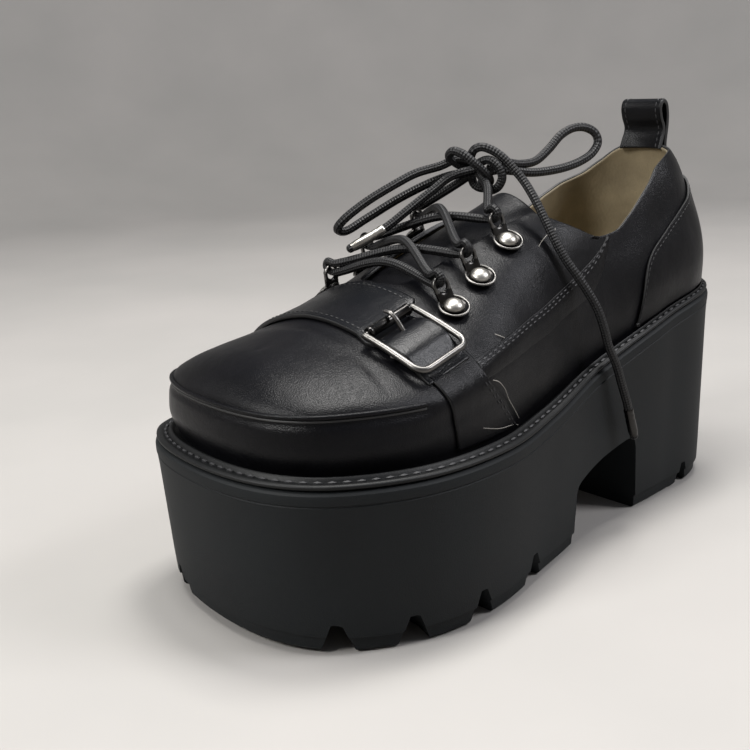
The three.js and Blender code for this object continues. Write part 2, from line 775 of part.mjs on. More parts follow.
// Lace rings: a riveted plate whose eye stands up toward the throat
const RINGS = [
  { along: 0.665, width: 32 },
  { along: 0.598, width: 28.6 },
  { along: 0.518, width: 22.8 },
];
const RING = { rivet: 5.3, dome: 4, plate: 1.2, rim: 0.5, reach: 10.4, eye: 3.6, hole: 2.4, lift: 48 };
function ringParts(along, side, width) {
  const { at, normal } = placeAt(along, side, width + (side > 0 ? 0 : 3));
  const lengthwise = new THREE.Vector3(0, 1, 0);
  lengthwise.addScaledVector(normal, -normal.dot(lengthwise)).normalize();
  const inward = lengthwise.clone().cross(normal).normalize();
  if (inward.x * side > 0) inward.multiplyScalar(-1);
  const wide = normal.clone().cross(inward).normalize();
  const foot = at.clone().addScaledVector(normal, GAP + OVERLAY + GAP);
  return { foot, normal, inward, wide };
}
const disc = (radius, thick, sides, z) =>
  Manifold.cylinder(thick, radius, radius, sides).translate([0, 0, z]);
function laceRing(along, side, width) {
  const { foot, normal, inward, wide } = ringParts(along, side, width);
  const bend = RING.rivet - 0.6;
  const eyeAt = RING.reach - bend;
  const flat = Manifold.union([
    disc(RING.rivet, RING.plate + RING.rim, 12, 0),
    Manifold.sphere(RING.dome, 8)
      .scale([1, 1, 0.5])
      .trimByPlane([0, 0, 1], 0)
      .translate([0, 0, RING.plate + RING.rim]),
  ]);
  const eye = Manifold.difference([
    Manifold.union([
      Manifold.hull([
        disc(RING.eye, RING.plate, 12, 0).translate([eyeAt, 0, 0]),
        disc(3.2, RING.plate, 8, 0).translate([-1.4, 0, 0]),
      ]),
      disc(RING.eye, 1.9, 12, -0.35).translate([eyeAt, 0, 0]),
    ]),
    disc(RING.hole, 6, 10, -3).translate([eyeAt, 0, 0]),
  ])
    .rotate([0, -RING.lift, 0])
    .translate([bend - 0.4, 0, 0]);
  const kept = eye.trimByPlane([0, 0, 1], 0);
  return placed(Manifold.union([flat, kept]), foot, inward, wide, normal);
}
// The middle of a ring's eye, its hole's axis toward the outside, and the way its tip points.
function eyeOf(along, side, width) {
  const { foot, normal, inward, wide } = ringParts(along, side, width);
  const lift = THREE.MathUtils.degToRad(RING.lift);
  const bend = RING.rivet - 1;
  const out = RING.reach - (RING.rivet - 0.6);
  const tip = inward.clone().multiplyScalar(Math.cos(lift)).addScaledVector(normal, Math.sin(lift));
  const axis = wide.clone().cross(tip).normalize();
  if (axis.x * side < 0) axis.multiplyScalar(-1);
  const centre = foot
    .clone()
    .addScaledVector(inward, bend)
    .addScaledVector(tip, out)
    .addScaledVector(axis, 0)
    .add(tip.clone().cross(wide).multiplyScalar(0));
  const face = normal.clone().multiplyScalar(Math.cos(lift)).addScaledVector(inward, -Math.sin(lift));
  centre.addScaledVector(face, RING.plate / 2);
  return { centre, axis, tip };
}

// Laces
const LACE = 1.7;
const turnAt = (row, side) => {
  const { centre, axis, tip } = eyeOf(RINGS[row].along, side, RINGS[row].width);
  const around = RING.eye - (RING.eye - RING.hole) / 2;
  const end = centre.clone().addScaledVector(tip, around);
  const reach = LACE + 1.85;
  return [
    centre.clone().addScaledVector(axis, -2.6).addScaledVector(tip, 0.1),
    centre.clone().addScaledVector(tip, -0.1),
    end.clone().addScaledVector(axis, reach).addScaledVector(tip, -0.6),
    end.clone().addScaledVector(tip, reach),
    end.clone().addScaledVector(axis, -reach - 0.6).addScaledVector(tip, reach * 0.5),
  ].map((p) => p.toArray());
};
const lacePoint = ([x, s, z]) => [x, HEEL_CENTRE - s, z];
const CROSSING = [
  { station: 168.5, height: 120.6 },
  { station: 149, height: 130.4 },
];
const crossingPoint = (row) =>
  lacePoint([RIDGE_SHIFT, CROSSING[row].station, CROSSING[row].height]);
const sewn = (side) => [
  ...turnAt(0, side),
  crossingPoint(0),
  ...turnAt(1, -side),
  crossingPoint(1),
  ...turnAt(2, side),
];
const threads = [1, -1].map((side) => tube(sewn(side), LACE, 31));
const bottomBar = tube([turnAt(0, 1)[0], lacePoint([RIDGE_SHIFT, 177.5, 115.2]), turnAt(0, -1)[0]], LACE, 5);
const risers = [1, -1].map((side) =>
  tube([turnAt(2, side)[4], lacePoint([side * 8, 134, 139.5]), lacePoint([side * 2.2, 131, 142.2])], LACE, 4),
);
const laceCrossings = Manifold.union([...threads, bottomBar, ...risers]);

const KNOT = [
  [-3, 137.5, 143.4],
  [-8, 139, 146.4],
  [-7.6, 136, 151],
  [-2, 131.5, 152.4],
  [3.8, 126.5, 150.6],
  [6.2, 125, 146.6],
  [2.6, 129, 144.6],
  [-2.6, 134, 147],
];
const BACK_LOOP = [
  [7.4, 123.4, 146.2],
  [9, 110.5, 147.2],
  [11, 101.5, 149.2],
  [14, 93.5, 154.8],
  [16.4, 85.5, 157.6],
  [19.4, 79.5, 154.4],
  [19.6, 84.6, 149],
  [17.4, 94, 145.4],
  [14.6, 104, 143.8],
  [12, 112.5, 143.6],
  [9.4, 119, 143.4],
];
const FRONT_LOOP = [
  [-9.6, 141, 147],
  [-15, 149.2, 144.6],
  [-20, 157.5, 140.2],
  [-26.5, 166, 134.2],
  [-32, 173, 127.6],
  [-34.6, 170.2, 123],
  [-30.4, 161.6, 127.6],
  [-22.6, 151.8, 134.6],
  [-14.6, 142.8, 140.2],
  [-10.4, 139.4, 142],
];
const SIDE_END = [
  [5.6, 123.8, 152.5],
  [11.4, 120.6, 151.4],
  [17.2, 120.8, 143.4],
  [23, 121, 136],
  [29.4, 121, 126.6],
  [35.4, 120.4, 115.6],
  [40, 118.4, 103.6],
  [43.2, 114.6, 91.8],
  [46.2, 109.6, 81.8],
  [49, 104.6, 73],
  [49.8, 99.8, 63],
  [49.4, 95.6, 51],
  [49.2, 91.2, 38],
];
const FRONT_END = [
  [-4.2, 140.6, 143.2],
  [-7.6, 147.4, 138.4],
  [-12.4, 156, 131.6],
  [-16.6, 164, 125.4],
  [-20, 171, 121.4],
  [-23, 177.4, 118.2],
];
const cord = (points, steps) => tube(points.map(lacePoint), LACE, steps);

// Pull loop on the back of the collar
const PULL = [
  { back: 21.7, height: 146.4, bow: 3.1 },
  { back: 21, height: 150.5, bow: 2 },
  { back: 20.5, height: 154.5, bow: 0.9 },
  { back: 22.8, height: 158.8, bow: 0.5 },
  { back: 24, height: 163.6, bow: 0.4 },
  { back: 22.6, height: 167.4, bow: 0.4 },
  { back: 19.2, height: 168.6, bow: 0.4 },
  { back: 16, height: 166.4, bow: 0.4 },
  { back: 14.4, height: 161.4, bow: 0.5 },
  { back: 14, height: 155.5, bow: 0.9 },
  { back: 14.3, height: 151, bow: 1.3 },
  { back: 14.5, height: 147.6, bow: 1.4 },
  { back: 13.6, height: 144, bow: 1.5 },
  { back: 12.3, height: 140.4, bow: 1.5 },
];
const pullRows = PULL.map(({ back, height, bow }, i) => {
  const a = PULL[Math.max(0, i - 1)];
  const b = PULL[Math.min(PULL.length - 1, i + 1)];
  const way = new THREE.Vector3(0, a.back - b.back, b.height - a.height).normalize();
  return {
    at: new THREE.Vector3(0, HEEL_CENTRE - back, height),
    wide: new THREE.Vector3(1, 0, 0),
    normal: new THREE.Vector3(0, -way.z, way.y),
    bow,
  };
});
const pullLoop = strip(pullRows, 20.5, 1.8);

// The raised seam round the toe
function heightPlace(angle, side, height) {
  let [low, high] = [0.05, 0.95];
  for (let i = 0; i < 26; i++) {
    const mid = (low + high) / 2;
    if (lastPoint(angle, side, mid)[2] < height) low = mid;
    else high = mid;
  }
  const t = (low + high) / 2;
  const n = lastNormal(angle, side, t);
  return new THREE.Vector3(...lastPoint(angle, side, t)).addScaledVector(n, 1.25).toArray();
}
const SEAM_START = 0.806;
const seamAngles = Array.from({ length: 10 }, (_, i) =>
  lerp(Math.acos(1 - 2 * SEAM_START), Math.PI - 0.001, i / 9),
);
const plugSeam = tube(
  [
    ...seamAngles.map((angle) => heightPlace(angle, 1, 79.8)),
    ...seamAngles
      .slice(0, -1)
      .reverse()
      .map((angle) => heightPlace(angle, -1, 79.8)),
  ],
  0.9,
  38,
  5,
);

const pieces = {
  platform_sole: platformSole,
  welt,
  insole,
  upper,
  plug_seam: plugSeam,
  facing_lateral: facingLateral,
  facing_medial: facingMedial,
  heel_counter: heelCounter,
  tongue,
  strap,
  buckle_frame: onBuckle(buckleFrame),
  buckle_roller: onBuckle(buckleRoller),
  buckle_prong: bucklePronged,
  pull_loop: pullLoop,
  lace_crossings: laceCrossings,
  lace_knot: cord(KNOT, 14),
  lace_loop_back: cord(BACK_LOOP, 17),
  lace_loop_front: cord(FRONT_LOOP, 17),
  lace_end_side: cord(SIDE_END, 18),
  lace_end_front: cord(FRONT_END, 8),
};
RINGS.forEach(({ along, width }, i) => {
  pieces[`lace_ring_lateral_${i + 1}`] = laceRing(along, 1, width);
  pieces[`lace_ring_medial_${i + 1}`] = laceRing(along, -1, width);
});

function meshOf(name, made) {
  const data = made.getMesh();
  const positions = new Float32Array(data.triVerts.length * 3);
  data.triVerts.forEach((v, i) => {
    for (let c = 0; c < 3; c++)
      positions[3 * i + c] = data.vertProperties[v * data.numProp + c];
  });
  const geometry = new THREE.BufferGeometry();
  geometry.setAttribute("position", new THREE.BufferAttribute(positions, 3));
  geometry.computeVertexNormals();
  const mesh = new THREE.Mesh(geometry, new THREE.MeshStandardMaterial());
  mesh.name = name;
  return mesh;
}
const shoe = new THREE.Group();
for (const [name, made] of Object.entries(pieces)) shoe.add(meshOf(name, made));
export default shoe;
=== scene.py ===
"""A left platform shoe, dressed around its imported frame.

The shoe's toe points along -Y, its outer side along +X and up is +Z. Sizes here are in millimetres and
become metres when a mesh is made.
"""

import logging
import math
from dataclasses import dataclass, field
from enum import Enum, IntEnum
from typing import Callable, Iterable, Sequence

import bmesh
import bpy
import numpy as np
from mathutils import Matrix, Vector


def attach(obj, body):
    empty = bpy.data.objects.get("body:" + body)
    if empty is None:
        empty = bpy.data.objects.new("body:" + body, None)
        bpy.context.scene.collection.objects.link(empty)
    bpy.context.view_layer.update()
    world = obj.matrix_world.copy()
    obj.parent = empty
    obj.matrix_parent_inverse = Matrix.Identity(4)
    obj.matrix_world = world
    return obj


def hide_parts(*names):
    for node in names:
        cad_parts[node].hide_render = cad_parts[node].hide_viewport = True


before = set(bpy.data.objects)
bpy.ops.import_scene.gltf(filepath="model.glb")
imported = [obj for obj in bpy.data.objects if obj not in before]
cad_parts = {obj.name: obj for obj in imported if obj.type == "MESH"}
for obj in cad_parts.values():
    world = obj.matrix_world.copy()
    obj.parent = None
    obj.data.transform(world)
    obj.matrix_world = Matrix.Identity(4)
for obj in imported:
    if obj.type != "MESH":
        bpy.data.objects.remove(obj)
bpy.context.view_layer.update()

LOG = logging.getLogger("shoe")
MM = 0.001
PER_METRE = 1000.0
BODY = "root"
LEATHER_SLOT = "upper_leather"

LENGTH = 266.0
FOREPART_WIDTH = 116.0
HEEL_HEIGHT = 86.0
PLATFORM_HEIGHT = 57.5
TOE_RISE = 1.2
TOE_SPRING = 2.0
TOE_LEAN = 2.8
HEEL_REACH = 80.0
FOREPART_START = 127.0
HEEL_CENTRE = 36.0
BACK_HEIGHT = 60.0
INSTEP_HEIGHT = 74.0
TOE_WELT = 9.6
HEEL_WELT = 4.6
OVERLAY = 1.3
GAP = 0.3
RIDGE_SHIFT = -2.5
LACE = 1.7
PI = math.pi

Array = np.ndarray
Rows = Sequence[Sequence[float]]
Mesh = bmesh.types.BMesh
Material = bpy.types.Material
Node = bpy.types.Node
NodeSocket = bpy.types.NodeSocket
NodeTree = bpy.types.NodeTree


class Side(IntEnum):
    """The outer and the inner side of the foot, by the sign of their width."""

    LATERAL = 1
    MEDIAL = -1


class FarEnd(Enum):
    """What is at the far end of a free stretch of lace."""

    KNOT = "knot"
    OBJECT = "object"
    FITTING = "fitting"


def smooth_step(t: Array) -> Array:
    """Eases a share from 0 to 1.

    Args:
        t: shares, clipped to 0 to 1.

    Returns:
        The eased shares.
    """
    t = np.clip(t, 0.0, 1.0)
    return t * t * (3 - 2 * t)


def bump_at(x: Array, centre: float, width: float) -> Array:
    """A soft hump of height 1 round a centre."""
    return np.exp(-(((x - centre) / width) ** 2))


def narrowed(low: Array, high: Array, steps: int, below: Callable[[Array], Array]) -> tuple[Array, Array]:
    """Halves ranges until they close in on where a test turns false.

    Args:
        low: the lower ends, where the test is true.
        high: the upper ends, where it is false.
        steps: how often they are halved.
        below: tells of values in between whether the test is true.

    Returns:
        The new ends.
    """
    for _ in range(steps):
        middle = (low + high) / 2
        under = below(middle)
        low, high = np.where(under, middle, low), np.where(under, high, middle)
    return low, high


def run_along(points: Array) -> Array:
    """The length from the first of a line's points to each of them."""
    return np.concatenate([[0.0], np.cumsum(np.linalg.norm(np.diff(points, axis=0), axis=1))])


def ring_places(steps: int) -> tuple[Array, Array]:
    """Places all round the sole, up the outer side from heel to toe and back down the inner.

    Args:
        steps: how many steps each side has.

    Returns:
        The angles and the sides.
    """
    angle = np.linspace(0, PI, steps + 1)
    side = np.concatenate([np.ones(steps + 1), -np.ones(steps - 1)])
    return np.concatenate([angle, angle[-2:0:-1]]), side


def lid(ring: Array, steps: int) -> Array:
    """Points that close a ring with strips from side to side.

    Args:
        ring: the ring's points, as ring_places lays them.
        steps: how many steps each of its sides has.

    Returns:
        Rows of points.
    """
    right = ring[: steps + 1]
    left = np.concatenate([ring[:1], ring[: steps - 1 : -1]])[: steps + 1]
    share = np.linspace(0, 1, 14)[:, None, None]
    return right[None] * (1 - share) + left[None] * share


@dataclass(frozen=True)
class Column:
    """A smooth curve through one column of a table.

    Attributes:
        xs: shares along the shoe.
        ys: the values there.
    """

    xs: tuple[float, ...]
    ys: tuple[float, ...]

    def __call__(self, x: Array) -> Array:
        """Reads the column.

        Args:
            x: shares along the shoe.

        Returns:
            The values there.
        """
        xs, ys = np.array(self.xs), np.array(self.ys)
        steps = np.diff(ys) / np.diff(xs)
        before, after = steps[:-1], steps[1:]
        total = np.where(before * after > 0, before + after, 1.0)
        inner = np.where(before * after > 0, 2 * before * after / total, 0.0)
        slope = np.concatenate([steps[:1], inner, steps[-1:]])
        at = np.clip(x, xs[0], xs[-1])
        i = np.clip(np.searchsorted(xs, at) - 1, 0, len(xs) - 2)
        h = xs[i + 1] - xs[i]
        t = (at - xs[i]) / h
        t2, t3 = t * t, t * t * t
        low = (2 * t3 - 3 * t2 + 1) * ys[i] + (t3 - 2 * t2 + t) * h * slope[i]
        return low + (3 * t2 - 2 * t3) * ys[i + 1] + (t3 - t2) * h * slope[i + 1]


def columns(names: Sequence[str], rows: Rows) -> dict[str, Column]:
    """Turns a table into its named columns.

    Args:
        names: the columns' names, after the share along the shoe.
        rows: the table's rows, the share first.

    Returns:
        Each column by its name.
    """
    table = list(zip(*rows))
    return {name: Column(tuple(table[0]), tuple(ys)) for name, ys in zip(names, table[1:])}


@dataclass(frozen=True)
class SolePlan:
    """The sole's outline seen from above, its height and its welt."""

    fullness: dict[str, Column] = field(
        default_factory=lambda: columns(
            ("lateral", "medial"),
            (
                (0.0, 0.69, 0.69), (0.03, 0.645, 0.645), (0.09, 0.575, 0.565), (0.22, 0.444, 0.42),
                (0.395, 0.392, 0.362), (0.545, 0.458, 0.42), (0.685, 0.572, 0.525), (0.805, 0.67, 0.64),
                (0.9, 0.75, 0.8), (0.97, 0.875, 1.03), (1.0, 1.0, 1.2),
            ),
        )
    )

    def top(self, s: Array) -> Array:
        """Height of the sole's top at a station."""
        rise = HEEL_HEIGHT + (PLATFORM_HEIGHT - HEEL_HEIGHT) * smooth_step((s - 8) / (0.655 * LENGTH - 8))
        return rise + TOE_RISE * np.clip((s / LENGTH - 0.66) / 0.34, 0, 1) ** 2

    def spring(self, s: Array) -> Array:
        """Lift of the tread at the toe."""
        return TOE_SPRING * np.clip((s / LENGTH - 0.86) / 0.14, 0, 1) ** 2

    def lean(self, s: Array) -> Array:
        """How far the toe's wall leans in at the floor."""
        return TOE_LEAN * smooth_step((s / LENGTH - 0.72) / 0.28)

    def welt(self, s: Array) -> Array:
        """Width of the ledge that the welt fills."""
        return HEEL_WELT + (TOE_WELT - HEEL_WELT) * smooth_step((s / LENGTH - 0.1) / 0.7)

    def edge(self, angle: Array, side: Array) -> tuple[Array, Array]:
        """The outline at angle 0 (heel) to pi (toe).

        Args:
            angle: angles round the plan.
            side: 1 for the outer side, -1 for the inner.

        Returns:
            Widths and stations.
        """
        share = (1 - np.cos(angle)) / 2
        full = np.where(side > 0, self.fullness["lateral"](share), self.fullness["medial"](share))
        return side * full * FOREPART_WIDTH * np.sin(angle), LENGTH * share

    def inset(self, angle: Array, side: Array, depth: Array) -> tuple[Array, Array]:
        """The outline moved in by a depth.

        Args:
            angle: angles round the plan.
            side: 1 for the outer side, -1 for the inner.
            depth: how far in.

        Returns:
            Widths and stations.
        """
        step = 0.004
        x, s = self.edge(angle, side)
        xa, sa = self.edge(np.maximum(0, angle - step), side)
        xb, sb = self.edge(np.minimum(PI, angle + step), side)
        nx, ns = (sb - sa) * side, -(xb - xa) * side
        ends = (angle < step) | (angle > PI - step)
        nx = np.where(ends, 0.0, nx)
        ns = np.where(angle < step, -1.0, np.where(angle > PI - step, 1.0, ns))
        size = np.hypot(nx, ns)
        return x - depth * nx / size, s - depth * ns / size


@dataclass(frozen=True)
class Crease:
    """A soft fold or dent of the lasted leather.

    Attributes:
        height: its height, below 0 for a dent.
        line: its station at x and z of 0, how that shifts with x and with z, and its half width.
        start: the station where it begins and how long it takes to rise.
        across: its middle and half width along x.
        upright: its middle and half width along z.
    """

    height: float
    line: tuple[float, ...] = ()
    start: tuple[float, ...] = ()
    across: tuple[float, ...] = ()
    upright: tuple[float, ...] = ()

    def at(self, x: Array, s: Array, z: Array) -> Array:
        """Reads the crease at points.

        Args:
            x: their widths.
            s: their stations.
            z: their heights.

        Returns:
            Its height there.
        """
        height = np.full_like(x, self.height)
        if self.line:
            station, by_x, by_z, half = self.line
            height *= bump_at(s - station - by_x * x - by_z * z, 0.0, half)
        if self.start:
            height *= smooth_step((s - self.start[0]) / self.start[1])
        if self.across:
            height *= bump_at(x, *self.across)
        if self.upright:
            height *= bump_at(z, *self.upright)
        return height


@dataclass(frozen=True)
class FootForm:
    """The last: columns that climb from the edge of the sole to the ridge of the foot."""

    plan: SolePlan = field(default_factory=SolePlan)
    rows: dict[str, Column] = field(
        default_factory=lambda: columns(
            ("ridge", "crest", "out1", "up1", "out2", "up2", "out3", "up3"),
            (
                (0.0, 0.128, 1.06, 0.98, 0.24, 0.82, 0.5, 0.57, 0.8),
                (0.05, 0.14, 1.06, 1.0, 0.24, 0.87, 0.5, 0.61, 0.8),
                (0.19, 0.215, 1.02, 1.03, 0.24, 0.9, 0.5, 0.64, 0.8),
                (0.3, 0.31, 0.99, 1.01, 0.24, 0.88, 0.5, 0.62, 0.8),
                (0.415, 0.42, 0.95, 1.0, 0.25, 0.91, 0.52, 0.63, 0.81),
                (0.525, 0.53, 0.87, 1.01, 0.27, 0.93, 0.55, 0.62, 0.86),
                (0.595, 0.6, 0.8, 1.01, 0.28, 0.95, 0.56, 0.62, 0.86),
                (0.67, 0.67, 0.7, 1.01, 0.29, 0.965, 0.56, 0.6, 0.85),
                (0.78, 0.76, 0.585, 1.02, 0.3, 0.985, 0.56, 0.58, 0.85),
                (0.9, 0.85, 0.51, 1.03, 0.3, 1.0, 0.6, 0.6, 0.86),
                (1.0, 0.89, 0.475, 1.07, 0.32, 1.05, 0.62, 0.66, 0.87),
            ),
        )
    )
    collar: dict[str, Column] = field(
        default_factory=lambda: columns(
            ("lateral", "medial"),
            (
                (-0.06, 1.045, 1.045), (0.068, 1.043, 1.043), (0.086, 1.02, 0.92), (0.115, 1.0, 0.82),
                (0.17, 0.92, 0.75), (0.207, 0.81, 0.69), (0.238, 0.722, 0.63), (0.272, 0.622, 0.57),
                (0.31, 0.535, 0.53), (0.345, 0.518, 0.518), (0.389, 0.595, 0.595), (0.46, 0.76, 0.76),
                (0.5, 0.845, 0.845), (0.54, 0.875, 0.875),
            ),
        )
    )
    throat: dict[str, Column] = field(
        default_factory=lambda: columns(
            ("lateral", "medial"),
            (
                (0.4, 19, 19), (0.55, 16, 16), (0.6, 14.5, 14.5), (0.65, 12.5, 13), (0.675, 10, 11),
                (0.685, 6, 7),
            ),
        )
    )

    creases: tuple[Crease, ...] = (
        Crease(0.25, start=(206, 8), upright=(82.2, 2.2)),
        Crease(-0.55, start=(206, 8), upright=(77.7, 1.3)),
        Crease(1.9, start=(196, 34), upright=(68.5, 7.5)),
        Crease(-0.5, (214.2, 0.16, 0, 1.6), across=(36, 9), upright=(88, 8)),
        Crease(-0.45, (216.5, -0.1, 0, 2.0), across=(-6, 18)),
        Crease(0.3, (221, -0.1, 0, 3.0), across=(0, 22)),
        Crease(-0.5, (78, 0, 0.5, 9), upright=(84, 12)),
        Crease(0.35, (66.4, 0, 0.4, 8), upright=(88, 13)),
    )
    unevenness: float = 0.09

    def point(self, angle: Array, side: Array, t: Array) -> Array:
        """A point of the last.

        Args:
            angle: angles round the plan.
            side: 1 or -1.
            t: shares up the column.

        Returns:
            Points, one row of x, y, z each.
        """
        angle, side, t = np.broadcast_arrays(*(np.asarray(v, float) for v in (angle, side, t)))
        share = (1 - np.cos(angle)) / 2
        row = {name: column(share) for name, column in self.rows.items()}
        x, s = self.plan.inset(angle, side, self.plan.welt(share * LENGTH))
        ridge = row["ridge"] * LENGTH
        base = self.plan.top(share * LENGTH) + GAP
        crest = self.plan.top(ridge) + GAP + row["crest"] * INSTEP_HEIGHT
        one, none = np.ones_like(t), np.zeros_like(t)
        outs = np.stack([one, row["out1"], row["out2"], row["out3"], none])
        ups = np.stack([none, row["up1"], row["up2"], row["up3"], one])
        outs = np.concatenate([outs[:1], outs, -outs[3:4]])
        ups = np.concatenate([2 * ups[:1] - ups[1:2], ups, ups[3:4]])
        i = np.minimum(3, np.floor(t * 4)).astype(int)
        u = t * 4 - i
        curve = []
        for values in (outs, ups):
            p0, p1, p2, p3 = (np.take_along_axis(values, (i + k)[None], 0)[0] for k in range(4))
            square = (2 * p0 - 5 * p1 + 4 * p2 - p3) * u * u
            curve.append(0.5 * (2 * p1 + (p2 - p0) * u + square + (3 * p1 - p0 - 3 * p2 + p3) * u**3))
        out, up = curve
        width = x * out + RIDGE_SHIFT * (1 - out)
        station = ridge + (s - ridge) * out
        return np.stack([width, HEEL_CENTRE - station, base + (crest - base) * up], -1)

    def normal(self, angle: Array, side: Array, t: Array) -> Array:
        """The way out of the last's surface.

        Args:
            angle: angles round the plan.
            side: 1 or -1.
            t: shares up the column.

        Returns:
            Normals of length 1.
        """
        angle, side, t = np.broadcast_arrays(*(np.asarray(v, float) for v in (angle, side, t)))
        d = 0.012
        low, high = np.maximum(0, t - d), np.minimum(0.999, t + d)
        back, ahead = np.clip(angle - d, 0.001, PI), np.clip(angle + d, 0, PI - 0.001)
        up = self.point(angle, side, high) - self.point(angle, side, low)
        along = self.point(ahead, side, t) - self.point(back, side, t)
        n = np.cross(up, along) * side[..., None]
        n[..., 0] = np.where((angle < d) | (angle > PI - d), 0.0, n[..., 0])
        n[..., 0] = np.where(t > 0.9999, 0.0, n[..., 0])
        n[..., 2] = np.where(t < 0.0001, 0.0, n[..., 2])
        return n / np.maximum(np.linalg.norm(n, axis=-1, keepdims=True), 1e-9)

    def relief(self, p: Array) -> Array:
        """Creases and dents, as a height over the last.

        Args:
            p: points of the last.

        Returns:
            Heights along the normal.
        """
        x, s, z = p[..., 0], HEEL_CENTRE - p[..., 1], p[..., 2]
        creases = sum(crease.at(x, s, z) for crease in self.creases)
        waves = np.sin(0.23 * s + 0.13 * x + 1.3) * np.sin(0.19 * z + 0.07 * s)
        waves += 0.6 * np.sin(0.41 * s - 0.2 * z + 0.5) * np.sin(0.16 * x + 0.11 * z + 2.0)
        return creases + self.unevenness * waves * smooth_step((z - 66) / 20)

    def surface(self, angle: Array, side: Array, t: Array, offset: float = 0.0) -> Array:
        """A point over the last, creases included.

        Args:
            angle: angles round the plan.
            side: 1 or -1.
            t: shares up the column.
            offset: the height over the last.

        Returns:
            Points, one row of x, y, z each.
        """
        p = self.point(angle, side, t)
        height = offset + self.relief(p)
        return p + self.normal(angle, side, t) * np.asarray(height)[..., None]

    def collar_height(self, s: Array, x: Array) -> Array:
        """Height of the collar's edge.

        Args:
            s: stations.
            x: widths, whose sign tells the side.

        Returns:
            The heights.
        """
        share = s / LENGTH
        high = np.where(x > 0, self.collar["lateral"](share), self.collar["medial"](share))
        return HEEL_HEIGHT + high * BACK_HEIGHT

    def is_open(self, p: Array, trim: float = 0.0, wider: float | None = None) -> Array:
        """True where a point of the last lies in the collar or the throat.

        Args:
            p: points of the last.
            trim: how much more is cut away.
            wider: how much more at the throat, where it differs.

        Returns:
            A truth value for each.
        """
        x, s, z = p[..., 0], HEEL_CENTRE - p[..., 1], p[..., 2]
        share = s / LENGTH
        collar = (share < 0.5425) & (z > self.collar_height(s, x) - trim * 1.2)
        wider = trim if wider is None else wider
        right = self.throat["lateral"](share) + wider + RIDGE_SHIFT
        left = RIDGE_SHIFT - self.throat["medial"](share) - wider
        throat = (share > 0.4) & (share < 0.685) & (z > 85) & (x < right) & (x > left)
        return collar | throat

    def first(self, angle: Array, side: Array, test: Callable[[Array], Array], start: float = 0.06) -> Array:
        """The share up each column where a test is first true.

        Args:
            angle: angles round the plan.
            side: 1 or -1 for each.
            test: tells from points which are inside.
            start: the lowest share looked at.

        Returns:
            The shares, 1 where the test is never true.
        """
        shares = np.linspace(start, 1, 420)
        hit = test(self.point(angle[:, None], side[:, None], shares[None]))
        index = np.argmax(hit, axis=1)
        found = hit.any(axis=1)
        before = shares[np.maximum(index - 1, 0)]
        high = narrowed(before, shares[index], 14, lambda t: ~test(self.point(angle, side, t)))[1]
        return np.where(found, high, 1.0)

    def found(
        self, s: Array, side: Array, start: Array, below: Callable[[Array, Array], Array]
    ) -> tuple[Array, Array]:
        """Finds points of the last by station and one more test.

        Args:
            s: the stations.
            side: 1 or -1 for each.
            start: the lowest shares looked at.
            below: tells from angles and shares which lie lower on their columns.

        Returns:
            Their angles and shares.
        """

        def share(angle: Array) -> tuple[Array, Array]:
            """The range of shares that holds the points on these columns."""
            return narrowed(start, np.ones_like(s), 16, lambda t: below(angle, t))

        def behind(angle: Array) -> Array:
            """True where a column meets the test before its station."""
            return HEEL_CENTRE - self.point(angle, side, share(angle)[1])[..., 1] < s

        low, high = narrowed(np.zeros_like(s), np.full_like(s, PI), 22, behind)
        angle = (low + high) / 2
        return angle, sum(share(angle)) / 2

    def from_side(self, s: Array, z: Array, side: int) -> tuple[Array, Array]:
        """Finds points of the last by station and height.

        Args:
            s: stations.
            z: heights.
            side: 1 or -1.

        Returns:
            Their angles and shares.
        """
        s, z = np.broadcast_arrays(np.asarray(s, float), np.asarray(z, float))
        ways = np.full_like(s, side)
        return self.found(s, ways, np.zeros_like(s), lambda angle, t: self.point(angle, ways, t)[..., 2] < z)

    def from_above(self, x: Array, s: Array) -> tuple[Array, Array, Array]:
        """Finds points of the last by width and station.

        Args:
            x: widths.
            s: stations.

        Returns:
            Their angles, sides and shares.
        """
        x, s = np.broadcast_arrays(np.asarray(x, float), np.asarray(s, float))
        side = np.where(x >= RIDGE_SHIFT, 1.0, -1.0)
        start = np.full_like(s, 0.35)
        angle, t = self.found(s, side, start, lambda a, t: (self.point(a, side, t)[..., 0] - x) * side > 0)
        return angle, side, t

    def place(self, along: float, side: int, width: float) -> tuple[Vector, Vector]:
        """A place on a column found by its width.

        Args:
            along: the column's share along the shoe.
            side: 1 or -1.
            width: its distance from the middle.

        Returns:
            The point and the normal there.
        """
        angle, way = np.array(math.acos(1 - 2 * along)), np.array(float(side))
        low, high = narrowed(0.3, 1.0, 30, lambda t: side * self.point(angle, way, t)[0] > width)
        t = (low + high) / 2
        return Vector(self.point(angle, way, t)), Vector(self.normal(angle, way, t))


FORM = FootForm()


